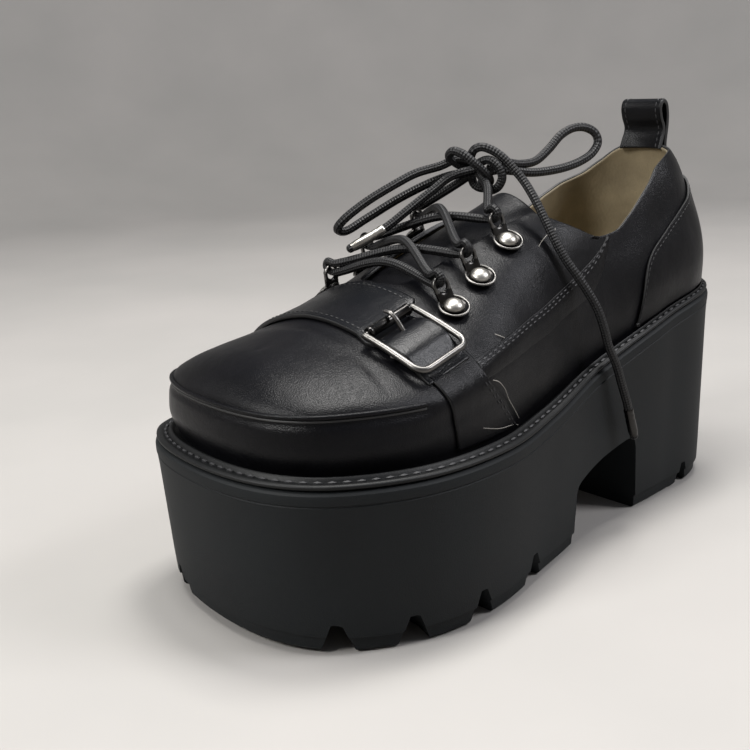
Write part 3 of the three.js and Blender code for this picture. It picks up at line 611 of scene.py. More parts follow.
def make_object(
    name: str,
    bm: Mesh,
    finishes: Sequence[Material],
    nodes: Sequence[str] = (),
    sharp: float = 38.0,
) -> bpy.types.Object:
    """Turns a bmesh in millimetres into a shown piece in metres.

    Args:
        name: the piece's name.
        bm: its mesh, freed here.
        finishes: its materials, by slot.
        nodes: the CAD nodes that it replaces.
        sharp: edges over this angle, in degrees, stay crisp.

    Returns:
        The new object, riding on the shoe.
    """
    bmesh.ops.scale(bm, vec=(MM, MM, MM), verts=bm.verts)
    bm.normal_update()
    limit = math.radians(sharp)
    for edge in bm.edges:
        edge.smooth = not (edge.is_manifold and edge.calc_face_angle(0.0) > limit)
    for face in bm.faces:
        face.smooth = True
    mesh = bpy.data.meshes.new(name)
    bm.to_mesh(mesh)
    bm.free()
    for finish in finishes:
        mesh.materials.append(finish)
    made = bpy.data.objects.new(name, mesh)
    bpy.context.scene.collection.objects.link(made)
    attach(made, BODY)
    if nodes:
        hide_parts(*nodes)
    LOG.info("%s: %d faces", name, len(mesh.polygons))
    return made


def grid(points: Array, around: bool = False, joined: bool = False, flip: bool = False) -> Mesh:
    """A sheet of quads laid over rows of points.

    Args:
        points: an array of rows, columns and x, y, z.
        around: the columns close into a ring.
        joined: the rows close into a ring too.
        flip: turn the faces round.

    Returns:
        The mesh, with its doubles merged and a UV map of row and column lengths in millimetres.
    """
    if around:
        points = np.concatenate([points, points[:, :1]], axis=1)
    if joined:
        points = np.concatenate([points, points[:1]], axis=0)
    rows, count = points.shape[:2]
    bm = bmesh.new()
    bmesh.ops.create_grid(bm, x_segments=count - 1, y_segments=rows - 1, size=1.0)
    across, up = run_along(points[rows // 2]), run_along(points[:, count // 2])
    layer = bm.loops.layers.uv.new("UVMap")
    index = {}
    for vert in bm.verts:
        i = round((vert.co.x + 1) / 2 * (count - 1))
        j = round((vert.co.y + 1) / 2 * (rows - 1))
        index[vert] = (j, i)
    for face in bm.faces:
        for loop in face.loops:
            j, i = index[loop.vert]
            loop[layer].uv = (across[i], up[j])
    for vert, (j, i) in index.items():
        vert.co = points[j, i]
    bmesh.ops.remove_doubles(bm, verts=bm.verts, dist=1e-4)
    if flip:
        bmesh.ops.reverse_faces(bm, faces=bm.faces)
    return bm


def thicken(made: bpy.types.Object, depth: float, edge: float = 0.0) -> None:
    """Gives a sheet its thickness below its face, and rounds its cut edges, which get its second finish.

    Args:
        made: the piece.
        depth: the thickness in millimetres.
        edge: the rounding of its edges in millimetres.
    """
    wall = made.modifiers.new("thickness", "SOLIDIFY")
    wall.thickness = depth * MM
    wall.offset = -1.0
    wall.use_even_offset = False
    wall.material_offset_rim = 1
    if edge:
        soft = made.modifiers.new("edge", "BEVEL")
        soft.width = edge * MM
        soft.segments = 2
        soft.limit_method = "ANGLE"
        soft.angle_limit = math.radians(50)
        soft.use_clamp_overlap = True


def resample(points: Array, count: int) -> Array:
    """Points spaced evenly along a line of points.

    Args:
        points: the line.
        count: how many points it gets.

    Returns:
        The new points.
    """
    length = run_along(points)
    at = np.linspace(0, length[-1], count)
    return np.stack([np.interp(at, length, points[:, k]) for k in range(points.shape[1])], -1)


def spline(points: Rows, count: int) -> Array:
    """Evenly spaced points of a smooth centripetal curve through a few.

    Args:
        points: the points that it passes.
        count: how many points it returns.

    Returns:
        The curve's points.
    """
    given = np.array(points, float)
    ends = 2 * given[:1] - given[1:2], 2 * given[-1:] - given[-2:-1]
    given = np.concatenate([ends[0], given, ends[1]])
    fine = []
    for i in range(1, len(given) - 2):
        p = given[i - 1 : i + 3]
        d = np.maximum(np.linalg.norm(np.diff(p, axis=0), axis=1) ** 0.5, 1e-4)
        m1 = (p[1] - p[0]) / d[0] - (p[2] - p[0]) / (d[0] + d[1]) + (p[2] - p[1]) / d[1]
        m2 = (p[2] - p[1]) / d[1] - (p[3] - p[1]) / (d[1] + d[2]) + (p[3] - p[2]) / d[2]
        m1, m2 = m1 * d[1], m2 * d[1]
        for u in np.arange(24) / 24:
            a = 2 * p[1] - 2 * p[2] + m1 + m2
            b = -3 * p[1] + 3 * p[2] - 2 * m1 - m2
            fine.append(a * u**3 + b * u**2 + m1 * u + p[1])
    fine.append(given[-2])
    return resample(np.array(fine), count)


def frames_along(path: Array) -> tuple[Array, Array]:
    """Two directions across a path that don't twist along it.

    Args:
        path: the path's points.

    Returns:
        The two directions at each point.
    """
    tangent = np.gradient(path, axis=0)
    tangent /= np.maximum(np.linalg.norm(tangent, axis=1, keepdims=True), 1e-9)
    start = np.array([0.0, 0.0, 1.0]) if abs(tangent[0, 2]) < 0.9 else np.array([1.0, 0.0, 0.0])
    u = [start - tangent[0] * (start @ tangent[0])]
    for k in range(1, len(path)):
        turned = u[-1] - tangent[k] * (u[-1] @ tangent[k])
        u.append(turned)
    across = np.array([v / np.linalg.norm(v) for v in u])
    return across, np.cross(tangent, across)


def tube(path: Array, radius: float | Array, sides: int = 12) -> Mesh:
    """A round bar or cord along a path, closed by a dome at each end.

    Args:
        path: its middle line.
        radius: its radius, or one for each point.
        sides: how many sides its section has.

    Returns:
        The closed mesh.
    """
    across, up = frames_along(path)
    radii = np.broadcast_to(np.asarray(radius, float), (len(path),)).copy()
    dome = np.radians([25, 50, 70, 90])
    tall, wide = 0.8 * np.sin(dome)[:, None], np.cos(dome)
    ahead, back = path[-1] - path[-2], path[0] - path[1]
    tops = path[-1] + ahead / np.linalg.norm(ahead) * radii[-1] * tall
    ends = path[0] + back / np.linalg.norm(back) * radii[0] * tall
    path = np.concatenate([ends[::-1], path, tops])
    radii = np.concatenate([radii[0] * wide[::-1], radii, radii[-1] * wide])
    across, up = (np.concatenate([v[[0] * len(dome)], v, v[[-1] * len(dome)]]) for v in (across, up))
    turn = np.linspace(0, 2 * PI, sides, endpoint=False)
    ring = across[:, None] * np.cos(turn)[None, :, None] + up[:, None] * np.sin(turn)[None, :, None]
    return grid(path[:, None] + ring * radii[:, None, None], around=True)


def srgb(code: str) -> tuple[float, float, float, float]:
    """A hex colour as linear light.

    Args:
        code: six hex digits.

    Returns:
        Red, green, blue and 1.
    """
    parts = [int(code[i : i + 2], 16) / 255 for i in (0, 2, 4)]
    light = [c / 12.92 if c <= 0.04045 else ((c + 0.055) / 1.055) ** 2.4 for c in parts]
    return (light[0], light[1], light[2], 1.0)


def connect(tree: NodeTree, node: Node, links: dict) -> None:
    """Sets or links a node's inputs.

    Args:
        tree: the material's nodes.
        node: the node.
        links: values, nodes or their outputs, by input name or number. A node stands for its first output.
    """
    for key, value in links.items():
        if isinstance(value, Node):
            value = value.outputs[0]
        if isinstance(value, NodeSocket):
            tree.links.new(value, node.inputs[key])
        else:
            node.inputs[key].default_value = value


def add(
    tree: NodeTree,
    kind: str,
    links: dict,
    stops: Sequence[tuple[float, str]] = (),
    **settings: object,
) -> Node:
    """Adds one node with its settings and its links.

    Args:
        tree: the material's nodes.
        kind: the node's type, after its common beginning.
        links: values, nodes or their outputs, by input name or number.
        stops: places and hex colours of a colour ramp, two of them.
        settings: the node's own properties.

    Returns:
        The node.
    """
    made = tree.nodes.new("ShaderNode" + kind)
    for key, value in settings.items():
        setattr(made, key, value)
    connect(tree, made, links)
    if stops:
        for element, (at, code) in zip(made.color_ramp.elements, stops):
            element.position = at
            element.color = srgb(code)
    return made


@dataclass(frozen=True)
class Finish:
    """A surface finish: a named material and how it is made.

    Attributes:
        name: what the real material is and how it was made.
    """

    name: str

    def material(self) -> Material:
        """Makes the finish's material.

        Returns:
            The new material, its pattern laid in the object's own coordinates.
        """
        made = bpy.data.materials.new(self.name)
        made.use_nodes = True
        tree = made.node_tree
        shader = next(n for n in tree.nodes if n.type == "BSDF_PRINCIPLED")
        place = add(tree, "TexCoord", {})
        connect(tree, shader, self.surface(tree, place.outputs["Object"], place.outputs["UV"]))
        return made

    def surface(self, tree: NodeTree, at: NodeSocket, uv: NodeSocket) -> dict:
        """Makes the pattern's nodes.

        Args:
            tree: the material's nodes.
            at: the object's own coordinates.
            uv: the piece's own map.

        Returns:
            What goes to the shader's inputs, by their names.
        """
        raise NotImplementedError


@dataclass(frozen=True)
class GrainedLeather(Finish):
    """Corrected-grain bovine leather, pigment coated and plated.

    The eye sees soft broad highlights broken up by fine grain, and paler clouds where it was lasted.
    """

    dark: str = "060608"
    worn: str = "0b0b0e"
    grain_mm: float = 0.75
    pore_mm: float = 0.28
    cloud_mm: float = 34.0
    swell_mm: float = 7.5
    shine: tuple[float, float] = (0.27, 0.4)
    pore_roughness: tuple[float, float] = (-0.05, 0.07)
    relief: float = 0.34
    gloss: float = 0.12

    def surface(self, tree: NodeTree, at: NodeSocket, uv: NodeSocket) -> dict:
        """Plates parted by fine grooves with painted shade in them, pores, wide clouds of tone and a slow
        swell of the hide.
        """
        plating = {"Vector": at, "Scale": PER_METRE / self.grain_mm}
        cells = add(tree, "TexVoronoi", plating, feature="DISTANCE_TO_EDGE")
        pores = add(tree, "TexNoise", {"Vector": at, "Scale": PER_METRE / self.pore_mm, "Detail": 2.0})
        clouding = {"Vector": at, "Scale": PER_METRE / self.cloud_mm, "Detail": 4.0, "Roughness": 0.55}
        cloud = add(tree, "TexNoise", clouding)
        tone = add(tree, "ValToRGB", {0: cloud}, ((0.38, self.dark), (0.72, self.worn)))
        # Painted shade: the colour is darkened along the grooves between the grain plates.
        crease = add(tree, "ValToRGB", {0: cells}, ((0.0, "d8d8d8"), (0.16, "ffffff")))
        colour = add(tree, "Mix", {0: 1.0, 6: tone, 7: crease}, data_type="RGBA", blend_type="MULTIPLY")
        broad = add(tree, "MapRange", {0: cloud, 3: self.shine[0], 4: self.shine[1]})
        fine = add(tree, "MapRange", {0: pores, 3: self.pore_roughness[0], 4: self.pore_roughness[1]})
        rough = add(tree, "Math", {0: broad, 1: fine}, operation="ADD")
        plates = add(tree, "ValToRGB", {0: cells}, ((0.0, "000000"), (0.3, "ffffff")))
        height = add(tree, "Math", {0: plates, 1: pores}, operation="ADD")
        grain = add(tree, "Bump", {"Strength": self.relief, "Distance": 0.12 * MM, "Height": height})
        swell = add(tree, "TexNoise", {"Vector": at, "Scale": PER_METRE / self.swell_mm, "Detail": 3.0})
        soft = add(tree, "Bump", {"Strength": 0.4, "Distance": 0.6 * MM, "Height": swell, "Normal": grain})
        return {
            "Base Color": colour.outputs[2],
            "Roughness": rough,
            "Normal": soft,
            "IOR": 1.5,
            "Specular IOR Level": self.gloss,
        }


@dataclass(frozen=True)
class MouldedRubber(Finish):
    """Injection-moulded foamed rubber from a lightly spark-eroded mould.

    The eye sees a dull dark grey with a fine tooth and slightly paler clouds.
    """

    dark: str = "0a0d0f"
    dusty: str = "101416"
    tooth_mm: float = 0.55
    cloud_mm: float = 45.0
    rough: float = 0.62

    def surface(self, tree: NodeTree, at: NodeSocket, uv: NodeSocket) -> dict:
        """Clouds of tone and roughness under the mould's fine tooth."""
        tooth = add(tree, "TexNoise", {"Vector": at, "Scale": PER_METRE / self.tooth_mm, "Detail": 3.0})
        clouding = {"Vector": at, "Scale": PER_METRE / self.cloud_mm, "Detail": 5.0, "Roughness": 0.6}
        cloud = add(tree, "TexNoise", clouding)
        return {
            "Base Color": add(tree, "ValToRGB", {0: cloud}, ((0.35, self.dark), (0.75, self.dusty))),
            "Roughness": add(tree, "MapRange", {0: cloud, 3: self.rough - 0.06, 4: self.rough + 0.08}),
            "Normal": add(tree, "Bump", {"Strength": 0.35, "Distance": 0.22 * MM, "Height": tooth}),
            "Specular IOR Level": 0.2,
        }


@dataclass(frozen=True)
class LiningLeather(Finish):
    """Pigskin-print lining, which the eye sees as a dull sand tone with pricked pores."""

    pale: str = "84785f"
    deep: str = "6c614b"
    pore_mm: float = 1.3
    cloud_mm: float = 18.0

    def surface(self, tree: NodeTree, at: NodeSocket, uv: NodeSocket) -> dict:
        """Pores pricked into a softly clouded tone."""
        pores = add(tree, "TexVoronoi", {"Vector": at, "Scale": PER_METRE / self.pore_mm})
        cloud = add(tree, "TexNoise", {"Vector": at, "Scale": PER_METRE / self.cloud_mm, "Detail": 4.0})
        return {
            "Base Color": add(tree, "ValToRGB", {0: cloud}, ((0.35, self.deep), (0.7, self.pale))),
            "Roughness": 0.78,
            "Normal": add(tree, "Bump", {"Strength": 0.35, "Distance": 0.2 * MM, "Height": pores}),
        }


@dataclass(frozen=True)
class PlainFinish(Finish):
    """An inked, cut or bonded surface, which the eye sees as one dull tone with a little unevenness."""

    pale: str
    deep: str
    rough: float
    grain_mm: float = 0.6

    def surface(self, tree: NodeTree, at: NodeSocket, uv: NodeSocket) -> dict:
        """One fine grain for tone and relief."""
        grain = add(tree, "TexNoise", {"Vector": at, "Scale": PER_METRE / self.grain_mm, "Detail": 3.0})
        return {
            "Base Color": add(tree, "ValToRGB", {0: grain}, ((0.35, self.deep), (0.65, self.pale))),
            "Roughness": self.rough,
            "Normal": add(tree, "Bump", {"Strength": 0.2, "Distance": 0.1 * MM, "Height": grain}),
        }


@dataclass(frozen=True)
class PlatedMetal(Finish):
    """Zinc casting or steel pressing with a nickel plate, tumbled smooth.

    The eye sees clear bright edges and dark reflections, duller where fingers touch it.
    """

    bright: str
    dull: str
    shine: tuple[float, float]
    cloud_mm: float = 12.0
    scratch_mm: float = 0.9

    def surface(self, tree: NodeTree, at: NodeSocket, uv: NodeSocket) -> dict:
        """Faint clouds of tone and roughness, and scratches that are drawn coarse enough to show."""
        cloud = add(tree, "TexNoise", {"Vector": at, "Scale": PER_METRE / self.cloud_mm, "Detail": 1.0})
        scratch = add(tree, "TexNoise", {"Vector": at, "Scale": PER_METRE / self.scratch_mm, "Detail": 4.0})
        return {
            "Base Color": add(tree, "ValToRGB", {0: cloud}, ((0.35, self.dull), (0.7, self.bright))),
            "Roughness": add(tree, "MapRange", {0: cloud, 3: self.shine[0], 4: self.shine[1]}),
            "Metallic": 1.0,
            "Normal": add(tree, "Bump", {"Strength": 0.02, "Distance": 0.02 * MM, "Height": scratch}),
        }


@dataclass(frozen=True)
class BraidedCord(Finish):
    """Waxed polyester yarn braided into a round cord.

    The eye sees slanting ribs that cross, and a weak sheen on their tops; in the colour that is a painted
    sheen, paler on the rib tops, with painted shade, darker between them. The real ribs are about half as
    wide; they are drawn coarser so that they show.
    """

    dark: str = "030304"
    pale: str = "141416"
    rib_mm: float = 2.3

    def surface(self, tree: NodeTree, at: NodeSocket, uv: NodeSocket) -> dict:
        """Two sets of slanting ribs that follow the cord's own map, with a painted sheen on their tops and
        painted shade between them.
        """
        parts = add(tree, "SeparateXYZ", {0: uv})
        ribs = []
        for way in (1.0, -1.0):
            slant = add(tree, "Math", {0: parts, 1: way}, operation="MULTIPLY")
            both = add(tree, "Math", {0: slant, 1: parts.outputs[1]}, operation="ADD")
            turn = add(tree, "Math", {0: both, 1: 2 * PI / self.rib_mm}, operation="MULTIPLY")
            ribs.append(add(tree, "Math", {0: turn}, operation="SINE"))
        weave = add(tree, "Math", {0: ribs[0], 1: ribs[1]}, operation="MULTIPLY")
        height = add(tree, "MapRange", {0: weave, 1: -1.0, 2: 1.0})
        return {
            # The colour follows the ribs' height: a painted sheen on their tops and painted shade in the
            # grooves.
            "Base Color": add(tree, "ValToRGB", {0: height}, ((0.35, self.dark), (1.0, self.pale))),
            "Roughness": 0.52,
            "Normal": add(tree, "Bump", {"Strength": 0.8, "Distance": 0.4 * MM, "Height": height}),
            "Specular IOR Level": 0.3,
        }


@dataclass(frozen=True)
class FloorPaint(Finish):
    """Pale matt paint on board, which the eye sees as an even light grey with faint clouds."""

    def surface(self, tree: NodeTree, at: NodeSocket, uv: NodeSocket) -> dict:
        """Clouds of tone."""
        cloud = add(tree, "TexNoise", {"Vector": at, "Scale": 5.0, "Detail": 5.0})
        return {
            "Base Color": add(tree, "ValToRGB", {0: cloud}, ((0.3, "8b8986"), (0.7, "93908d"))),
            "Roughness": 0.5,
        }


@dataclass(frozen=True)
class Palette:
    """The shoe's materials, made once."""

    leather: Material = GrainedLeather("leather_plated_grain").material()
    strap_leather: Material = GrainedLeather(
        "leather_strap_polished", "050608", "0c0c0f", 0.9, shine=(0.24, 0.34), relief=0.24, gloss=0.15
    ).material()
    # Dark ink for cut leather edges and some stitch rows; the same material also makes the painted shadow
    # line under the toe seam.
    ink_and_painted_shade: Material = PlainFinish("leather_edge_inked", "0b0b0c", "050506", 0.55).material()
    raw_edge: Material = PlainFinish("lining_edge_cut", "5f5644", "4c4536", 0.8).material()
    lining: Material = LiningLeather("lining_pigskin_print").material()
    sole: Material = MouldedRubber("rubber_foamed_moulded").material()
    welt: Material = MouldedRubber(
        "rubber_welt_moulded", "090a0b", "121313", tooth_mm=0.7, rough=0.5
    ).material()
    nickel: Material = PlatedMetal("nickel_plate_tumbled", "63615f", "504f4d", (0.3, 0.4)).material()
    gunmetal: Material = PlatedMetal("gunmetal_plate_dark", "3c3b3a", "2a2928", (0.18, 0.3)).material()
    rivet: Material = PlatedMetal("nickel_rivet_satin", "b9b7b1", "8f8c86", (0.3, 0.46)).material()
    lace: Material = BraidedCord("polyester_cord_braided").material()
    thread: Material = PlainFinish("thread_bonded_black", "202023", "121214", 0.6, 0.3).material()
    loose_thread: Material = PlainFinish("thread_loose_end", "8d8a84", "6c6964", 0.5, 0.3).material()
    ferrule: Material = PlatedMetal("steel_tip_crimped", "b9b6af", "86837c", (0.28, 0.4)).material()


PALETTE = Palette()


def leather_piece(
    name: str,
    bm: Mesh,
    depth: float,
    edge: float = 0.3,
    nodes: Sequence[str] = (),
    sharp: float = 38.0,
    finish: Material = PALETTE.leather,
) -> None:
    """Makes a piece of leather with inked edges from a sheet.

    Args:
        name: the piece's name.
        bm: its outer face, freed here.
        depth: its thickness.
        edge: the rounding of its edges.
        nodes: the CAD nodes that it replaces.
        sharp: edges over this angle, in degrees, stay crisp.
        finish: the leather's material.
    """
    made = make_object(name, bm, [finish, PALETTE.ink_and_painted_shade], nodes, sharp=sharp)
    thicken(made, depth, edge)


def joined(parts: Iterable[Mesh]) -> Mesh:
    """Puts several meshes in one.

    Args:
        parts: the meshes, freed here.

    Returns:
        The one mesh.
    """
    whole = bmesh.new()
    for part in parts:
        mesh = bpy.data.meshes.new("part")
        part.to_mesh(mesh)
        part.free()
        whole.from_mesh(mesh)
        bpy.data.meshes.remove(mesh)
    return whole


def painted(bm: Mesh, index: int) -> Mesh:
    """Gives every face of a mesh one material slot.

    Args:
        bm: the mesh.
        index: the slot.

    Returns:
        The same mesh.
    """
    for face in bm.faces:
        face.material_index = index
    return bm


def spun(profile: Rows, steps: int) -> Mesh:
    """A profile spun round the z axis.

    Args:
        profile: radius and height pairs.
        steps: how many sides the turn has.

    Returns:
        The open mesh.
    """
    bm = bmesh.new()
    verts = [bm.verts.new((r, 0.0, z)) for r, z in profile]
    edges = [bm.edges.new(pair) for pair in zip(verts[:-1], verts[1:])]
    whole = {"cent": (0, 0, 0), "axis": (0, 0, 1), "angle": 2 * PI, "use_merge": True}
    bmesh.ops.spin(bm, geom=verts + edges, steps=steps, **whole)
    return bm


def turned(profile: Rows, place: Matrix, steps: int) -> Mesh:
    """A body turned round its own z axis.

    Args:
        profile: radius and height pairs from pole to pole, or a closed ring of them.
        place: where the body stands.
        steps: how many sides it has.

    Returns:
        The closed mesh.
    """
    bm = spun(profile, steps)
    bmesh.ops.remove_doubles(bm, verts=bm.verts, dist=1e-4)
    bmesh.ops.recalc_face_normals(bm, faces=bm.faces)
    bmesh.ops.transform(bm, matrix=place, verts=bm.verts)
    return bm


def cut(bm: Mesh, cutters: Sequence[Mesh]) -> Mesh:
    """Cuts closed shapes out of a closed shape.

    Args:
        bm: the shape, freed here.
        cutters: the shapes that are taken away, freed here.

    Returns:
        What is left.
    """
    made = []
    for part in (bm, *cutters):
        bmesh.ops.recalc_face_normals(part, faces=part.faces)
        mesh = bpy.data.meshes.new("cut")
        part.to_mesh(mesh)
        part.free()
        one = bpy.data.objects.new("cut", mesh)
        bpy.context.scene.collection.objects.link(one)
        made.append(one)
    for other in made[1:]:
        step = made[0].modifiers.new("cut", "BOOLEAN")
        step.operation = "DIFFERENCE"
        step.solver = "EXACT"
        step.object = other
    graph = bpy.context.evaluated_depsgraph_get()
    left = bmesh.new()
    left.from_object(made[0], graph)
    for one in made:
        mesh = one.data
        bpy.data.objects.remove(one)
        bpy.data.meshes.remove(mesh)
    bmesh.ops.remove_doubles(left, verts=left.verts, dist=1e-3)
    return left


def along(line: Array, run: Array, at: float) -> Vector:
    """The place or direction at a length along a line."""
    return Vector([float(np.interp(at, run, line[:, k])) for k in range(3)])


@dataclass(frozen=True)
class Stitch:
    """One kind of stitch, a small long bead of thread.

    Attributes:
        spacing: from one stitch to the next.
        size: half of a stitch's length, width and height.
        reach: how far ahead and behind the seam's direction is read.
    """

    spacing: float
    size: tuple[float, float, float]
    reach: float = 0.4

    def sew(self, name: str, path: Array, out: Array, finish: Material, slot: str = LEATHER_SLOT) -> None:
        """Makes one row along a seam.

        Args:
            name: the row's name.
            path: the seam's line.
            out: the way out of the surface at each of its points.
            finish: the thread's material.
            slot: not used.
        """
        run = run_along(path)
        bm = bmesh.new()
        for at in np.arange(self.spacing / 2, run[-1], self.spacing):
            way = (along(path, run, at + self.reach) - along(path, run, at - self.reach)).normalized()
            wide = along(out, run, at).normalized().cross(way).normalized()
            turn = Matrix((way, wide, way.cross(wide))).transposed().to_4x4()
            place = Matrix.Translation(along(path, run, at)) @ turn @ Matrix.Diagonal((*self.size, 1.0))
            bmesh.ops.create_icosphere(bm, subdivisions=1, radius=1.0, matrix=place)
        make_object(name, bm, [finish], ())


def on_last(turn: Array, t: Array, offset: float | Array) -> Array:
    """Points over the last by signed angle: positive on the outer side, 0 at the heel."""
    side = np.where(turn >= 0, 1.0, -1.0)
    return FORM.surface(np.abs(turn), side, np.clip(t, 0.0, 1.0), offset)


def patch(low: Array, high: Array, rows: int, offset: float | Array) -> Array:
    """Rows of points from one line over the last to another.

    Args:
        low: signed angles and shares of the first line.
        high: those of the last.
        rows: how many rows there are.
        offset: the height over the last.

    Returns:
        The points.
    """
    v = np.linspace(0, 1, rows)[:, None, None]
    both = low[None] * (1 - v) + high[None] * v
    return on_last(both[..., 0], both[..., 1], offset)


def seam(line: Array, offset: float) -> tuple[Array, Array]:
    """A seam over the last.

    Args:
        line: its signed angles and shares.
        offset: its height over the last.

    Returns:
        Its points and the normals there.
    """
    side = np.where(line[:, 0] >= 0, 1.0, -1.0)
    out = FORM.normal(np.abs(line[:, 0]), side, line[:, 1])
    return on_last(line[:, 0], line[:, 1], offset), out


def side_line(points: Rows, side: int, count: int) -> Array:
    """A side view's line as signed angles and shares.

    Args:
        points: station and height pairs.
        side: 1 or -1.
        count: how many points it returns, evenly spaced.

    Returns:
        Signed angle and share pairs.
    """
    fine = spline([(s, z, 0.0) for s, z in points], count)
    angle, t = FORM.from_side(fine[:, 0], fine[:, 1], side)
    return np.stack([angle * side, t], -1)


@dataclass
class Camera:
    """The camera that took the picture, found from the shoe's own edges."""

    at: tuple[float, float, float] = (279.8, -396.7, 178.7)
    azimuth: float = 48.74
    elevation: float = 15.65
    roll: float = -2.1
    lens: float = 49.96
    sensor: float = 36.0

    def build(self) -> None:
        """Makes the camera."""
        a, e, ro = (math.radians(v) for v in (self.azimuth, self.elevation, self.roll))
        back = Vector((math.sin(a) * math.cos(e), -math.cos(a) * math.cos(e), math.sin(e)))
        right = Vector((math.cos(a), math.sin(a), 0.0))
        up = back.cross(right)
        across = right * math.cos(ro) + up * math.sin(ro)
        high = up * math.cos(ro) - right * math.sin(ro)
        data = bpy.data.cameras.new("camera")
        data.lens = self.lens
        data.sensor_width = self.sensor
        data.clip_start = 0.01
        eye = bpy.data.objects.new("camera", data)
        turn = Matrix((across, high, back)).transposed().to_4x4()
        eye.matrix_world = Matrix.Translation(Vector(self.at) * MM) @ turn
        bpy.context.scene.collection.objects.link(eye)
        bpy.context.scene.camera = eye


@dataclass(frozen=True)
class Lamp:
    """One square soft lamp that faces a point, with its sizes in metres and its power in watts."""

    name: str
    at: tuple[float, float, float]
    to: tuple[float, float, float]
    size: float
    power: float
    tint: str

    def build(self) -> None:
        """Makes the lamp."""
        data = bpy.data.lights.new(self.name, "AREA")
        data.size = self.size
        data.energy = self.power
        data.color = srgb(self.tint)[:3]
        lit = bpy.data.objects.new(self.name, data)
        way = Vector(self.to) - Vector(self.at)
        lit.matrix_world = Matrix.Translation(self.at) @ way.to_track_quat("-Z", "Y").to_matrix().to_4x4()
        bpy.context.scene.collection.objects.link(lit)


@dataclass
class Studio:
    """A pale floor that rises into a round wall, and soft lamps, in metres."""

    radius: float = 1.7
    curve: float = 0.6
    wall: float = 1.5
    sky: tuple[str, float] = ("c9d4ea", 0.3)
    lamps: tuple[Lamp, ...] = (
        Lamp("lamp_over", (-0.08, 0.15, 1.25), (0, -0.08, 0.05), 0.36, 18.0, "fffdfa"),
        Lamp("lamp_ahead", (-0.08, -0.35, 1.25), (0, -0.15, 0.05), 0.4, 13.0, "fffdfa"),
        Lamp("lamp_front", (-0.12, -1.1, 0.78), (0, -0.2, 0.08), 0.3, 13.0, "fffefc"),
        Lamp("lamp_toe", (-0.75, -0.95, 0.75), (0, -0.1, 0.08), 0.4, 2.0, "ffffff"),
        Lamp("lamp_side", (0.85, 0.6, 1.1), (0.4, 0.35, 0.0), 0.5, 18.0, "fbfbff"),
    )

    def build(self) -> None:
        """Makes the floor, the lamps and the air's own light."""
        self.floor()
        for lamp in self.lamps:
            lamp.build()
        bpy.context.scene.view_settings.view_transform = "Standard"
        world = bpy.data.worlds.new("world")
        world.use_nodes = True
        sky = next(n for n in world.node_tree.nodes if n.type == "BACKGROUND")
        sky.inputs[0].default_value = srgb(self.sky[0])
        sky.inputs[1].default_value = self.sky[1]
        bpy.context.scene.world = world

    def floor(self) -> None:
        """Makes the floor, which is no part of the shoe."""
        flat = self.radius - self.curve
        turns = np.linspace(0, PI / 2, 14)
        rise = [(flat + self.curve * math.sin(a), self.curve * (1 - math.cos(a))) for a in turns]
        bm = spun([(0.0, 0.0), (flat * 0.5, 0.0), *rise, (self.radius, self.wall)], 72)
        bmesh.ops.remove_doubles(bm, verts=bm.verts, dist=1e-6)
        for face in bm.faces:
            face.smooth = True
            if face.normal.z < 0 or (face.normal.z < 0.1 and face.normal.dot(face.calc_center_median()) > 0):
                face.normal_flip()
        mesh = bpy.data.meshes.new("floor")
        bm.to_mesh(mesh)
        bm.free()
        mesh.materials.append(FloorPaint("painted_board_matt").material())
        floor = bpy.data.objects.new("floor", mesh)
        bpy.context.scene.collection.objects.link(floor)


@dataclass(frozen=True)
class RingPlace:
    """One lace ring's place on its column, and its sizes.

    Attributes:
        along: the column's share along the shoe.
        width: the foot's distance from the middle.
        side: the side of the foot.
        rivet: the plate's radius.
        reach: from the foot to the eye's middle, before the eye is lifted.
        eye: the eye's outer radius.
        hole: its inner radius.
        plate: the plate's thickness.
        lift: how far the eye stands up, in degrees.
        inner_shift: how much wider apart the inner side's rings stand.
        neck: how far inside the plate's edge the eye bends up.
    """

    along: float
    width: float
    side: Side
    rivet: float = 5.3
    reach: float = 10.4
    eye: float = 3.6
    hole: float = 2.4
    plate: float = 1.2
    lift: float = 48.0
    inner_shift: float = 3.0
    neck: float = 0.6

    def axes(self) -> tuple[Vector, Vector, Vector, Vector]:
        """Finds where the ring stands.

        Returns:
            The foot, the normal, the way to the throat and the way across.
        """
        shift = self.inner_shift if self.side is Side.MEDIAL else 0.0
        at, normal = FORM.place(self.along, self.side, self.width + shift)
        lengthwise = Vector((0, 1, 0))
        lengthwise -= normal * normal.dot(lengthwise)
        lengthwise.normalize()
        inward = lengthwise.cross(normal).normalized()
        if inward.x * self.side > 0:
            inward.negate()
        wide = normal.cross(inward).normalized()
        return at + normal * (2 * GAP + OVERLAY), normal, inward, wide

    def frame(self) -> Matrix:
        """The ring's own frame: x to the throat, z out of the leather."""
        foot, normal, inward, wide = self.axes()
        return Matrix.Translation(foot) @ Matrix((inward, wide, normal)).transposed().to_4x4()

    def turn(self) -> list[Array]:
        """The lace's way through the eye.

        Returns:
            Its points, in the order of the sewn lace.
        """
        foot, normal, inward, wide = self.axes()
        lift = math.radians(self.lift)
        out = self.reach - (self.rivet - self.neck)
        tip = inward * math.cos(lift) + normal * math.sin(lift)
        axis = wide.cross(tip).normalized()
        if axis.x * self.side < 0:
            axis.negate()
        face = normal * math.cos(lift) - inward * math.sin(lift)
        centre = foot + inward * (self.rivet - 1) + tip * out + face * (self.plate / 2)
        end = centre + tip * (self.eye - (self.eye - self.hole) / 2)
        path = (
            centre - axis * 2.8 + tip * 0.5,
            centre + tip * 0.6,
            end + axis * 2.2 - tip * 0.7,
            end + axis * 1.0 + tip * 1.7,
            end - axis * 3.2 + tip * 1.4,
        )
        return [np.array(p) for p in path]


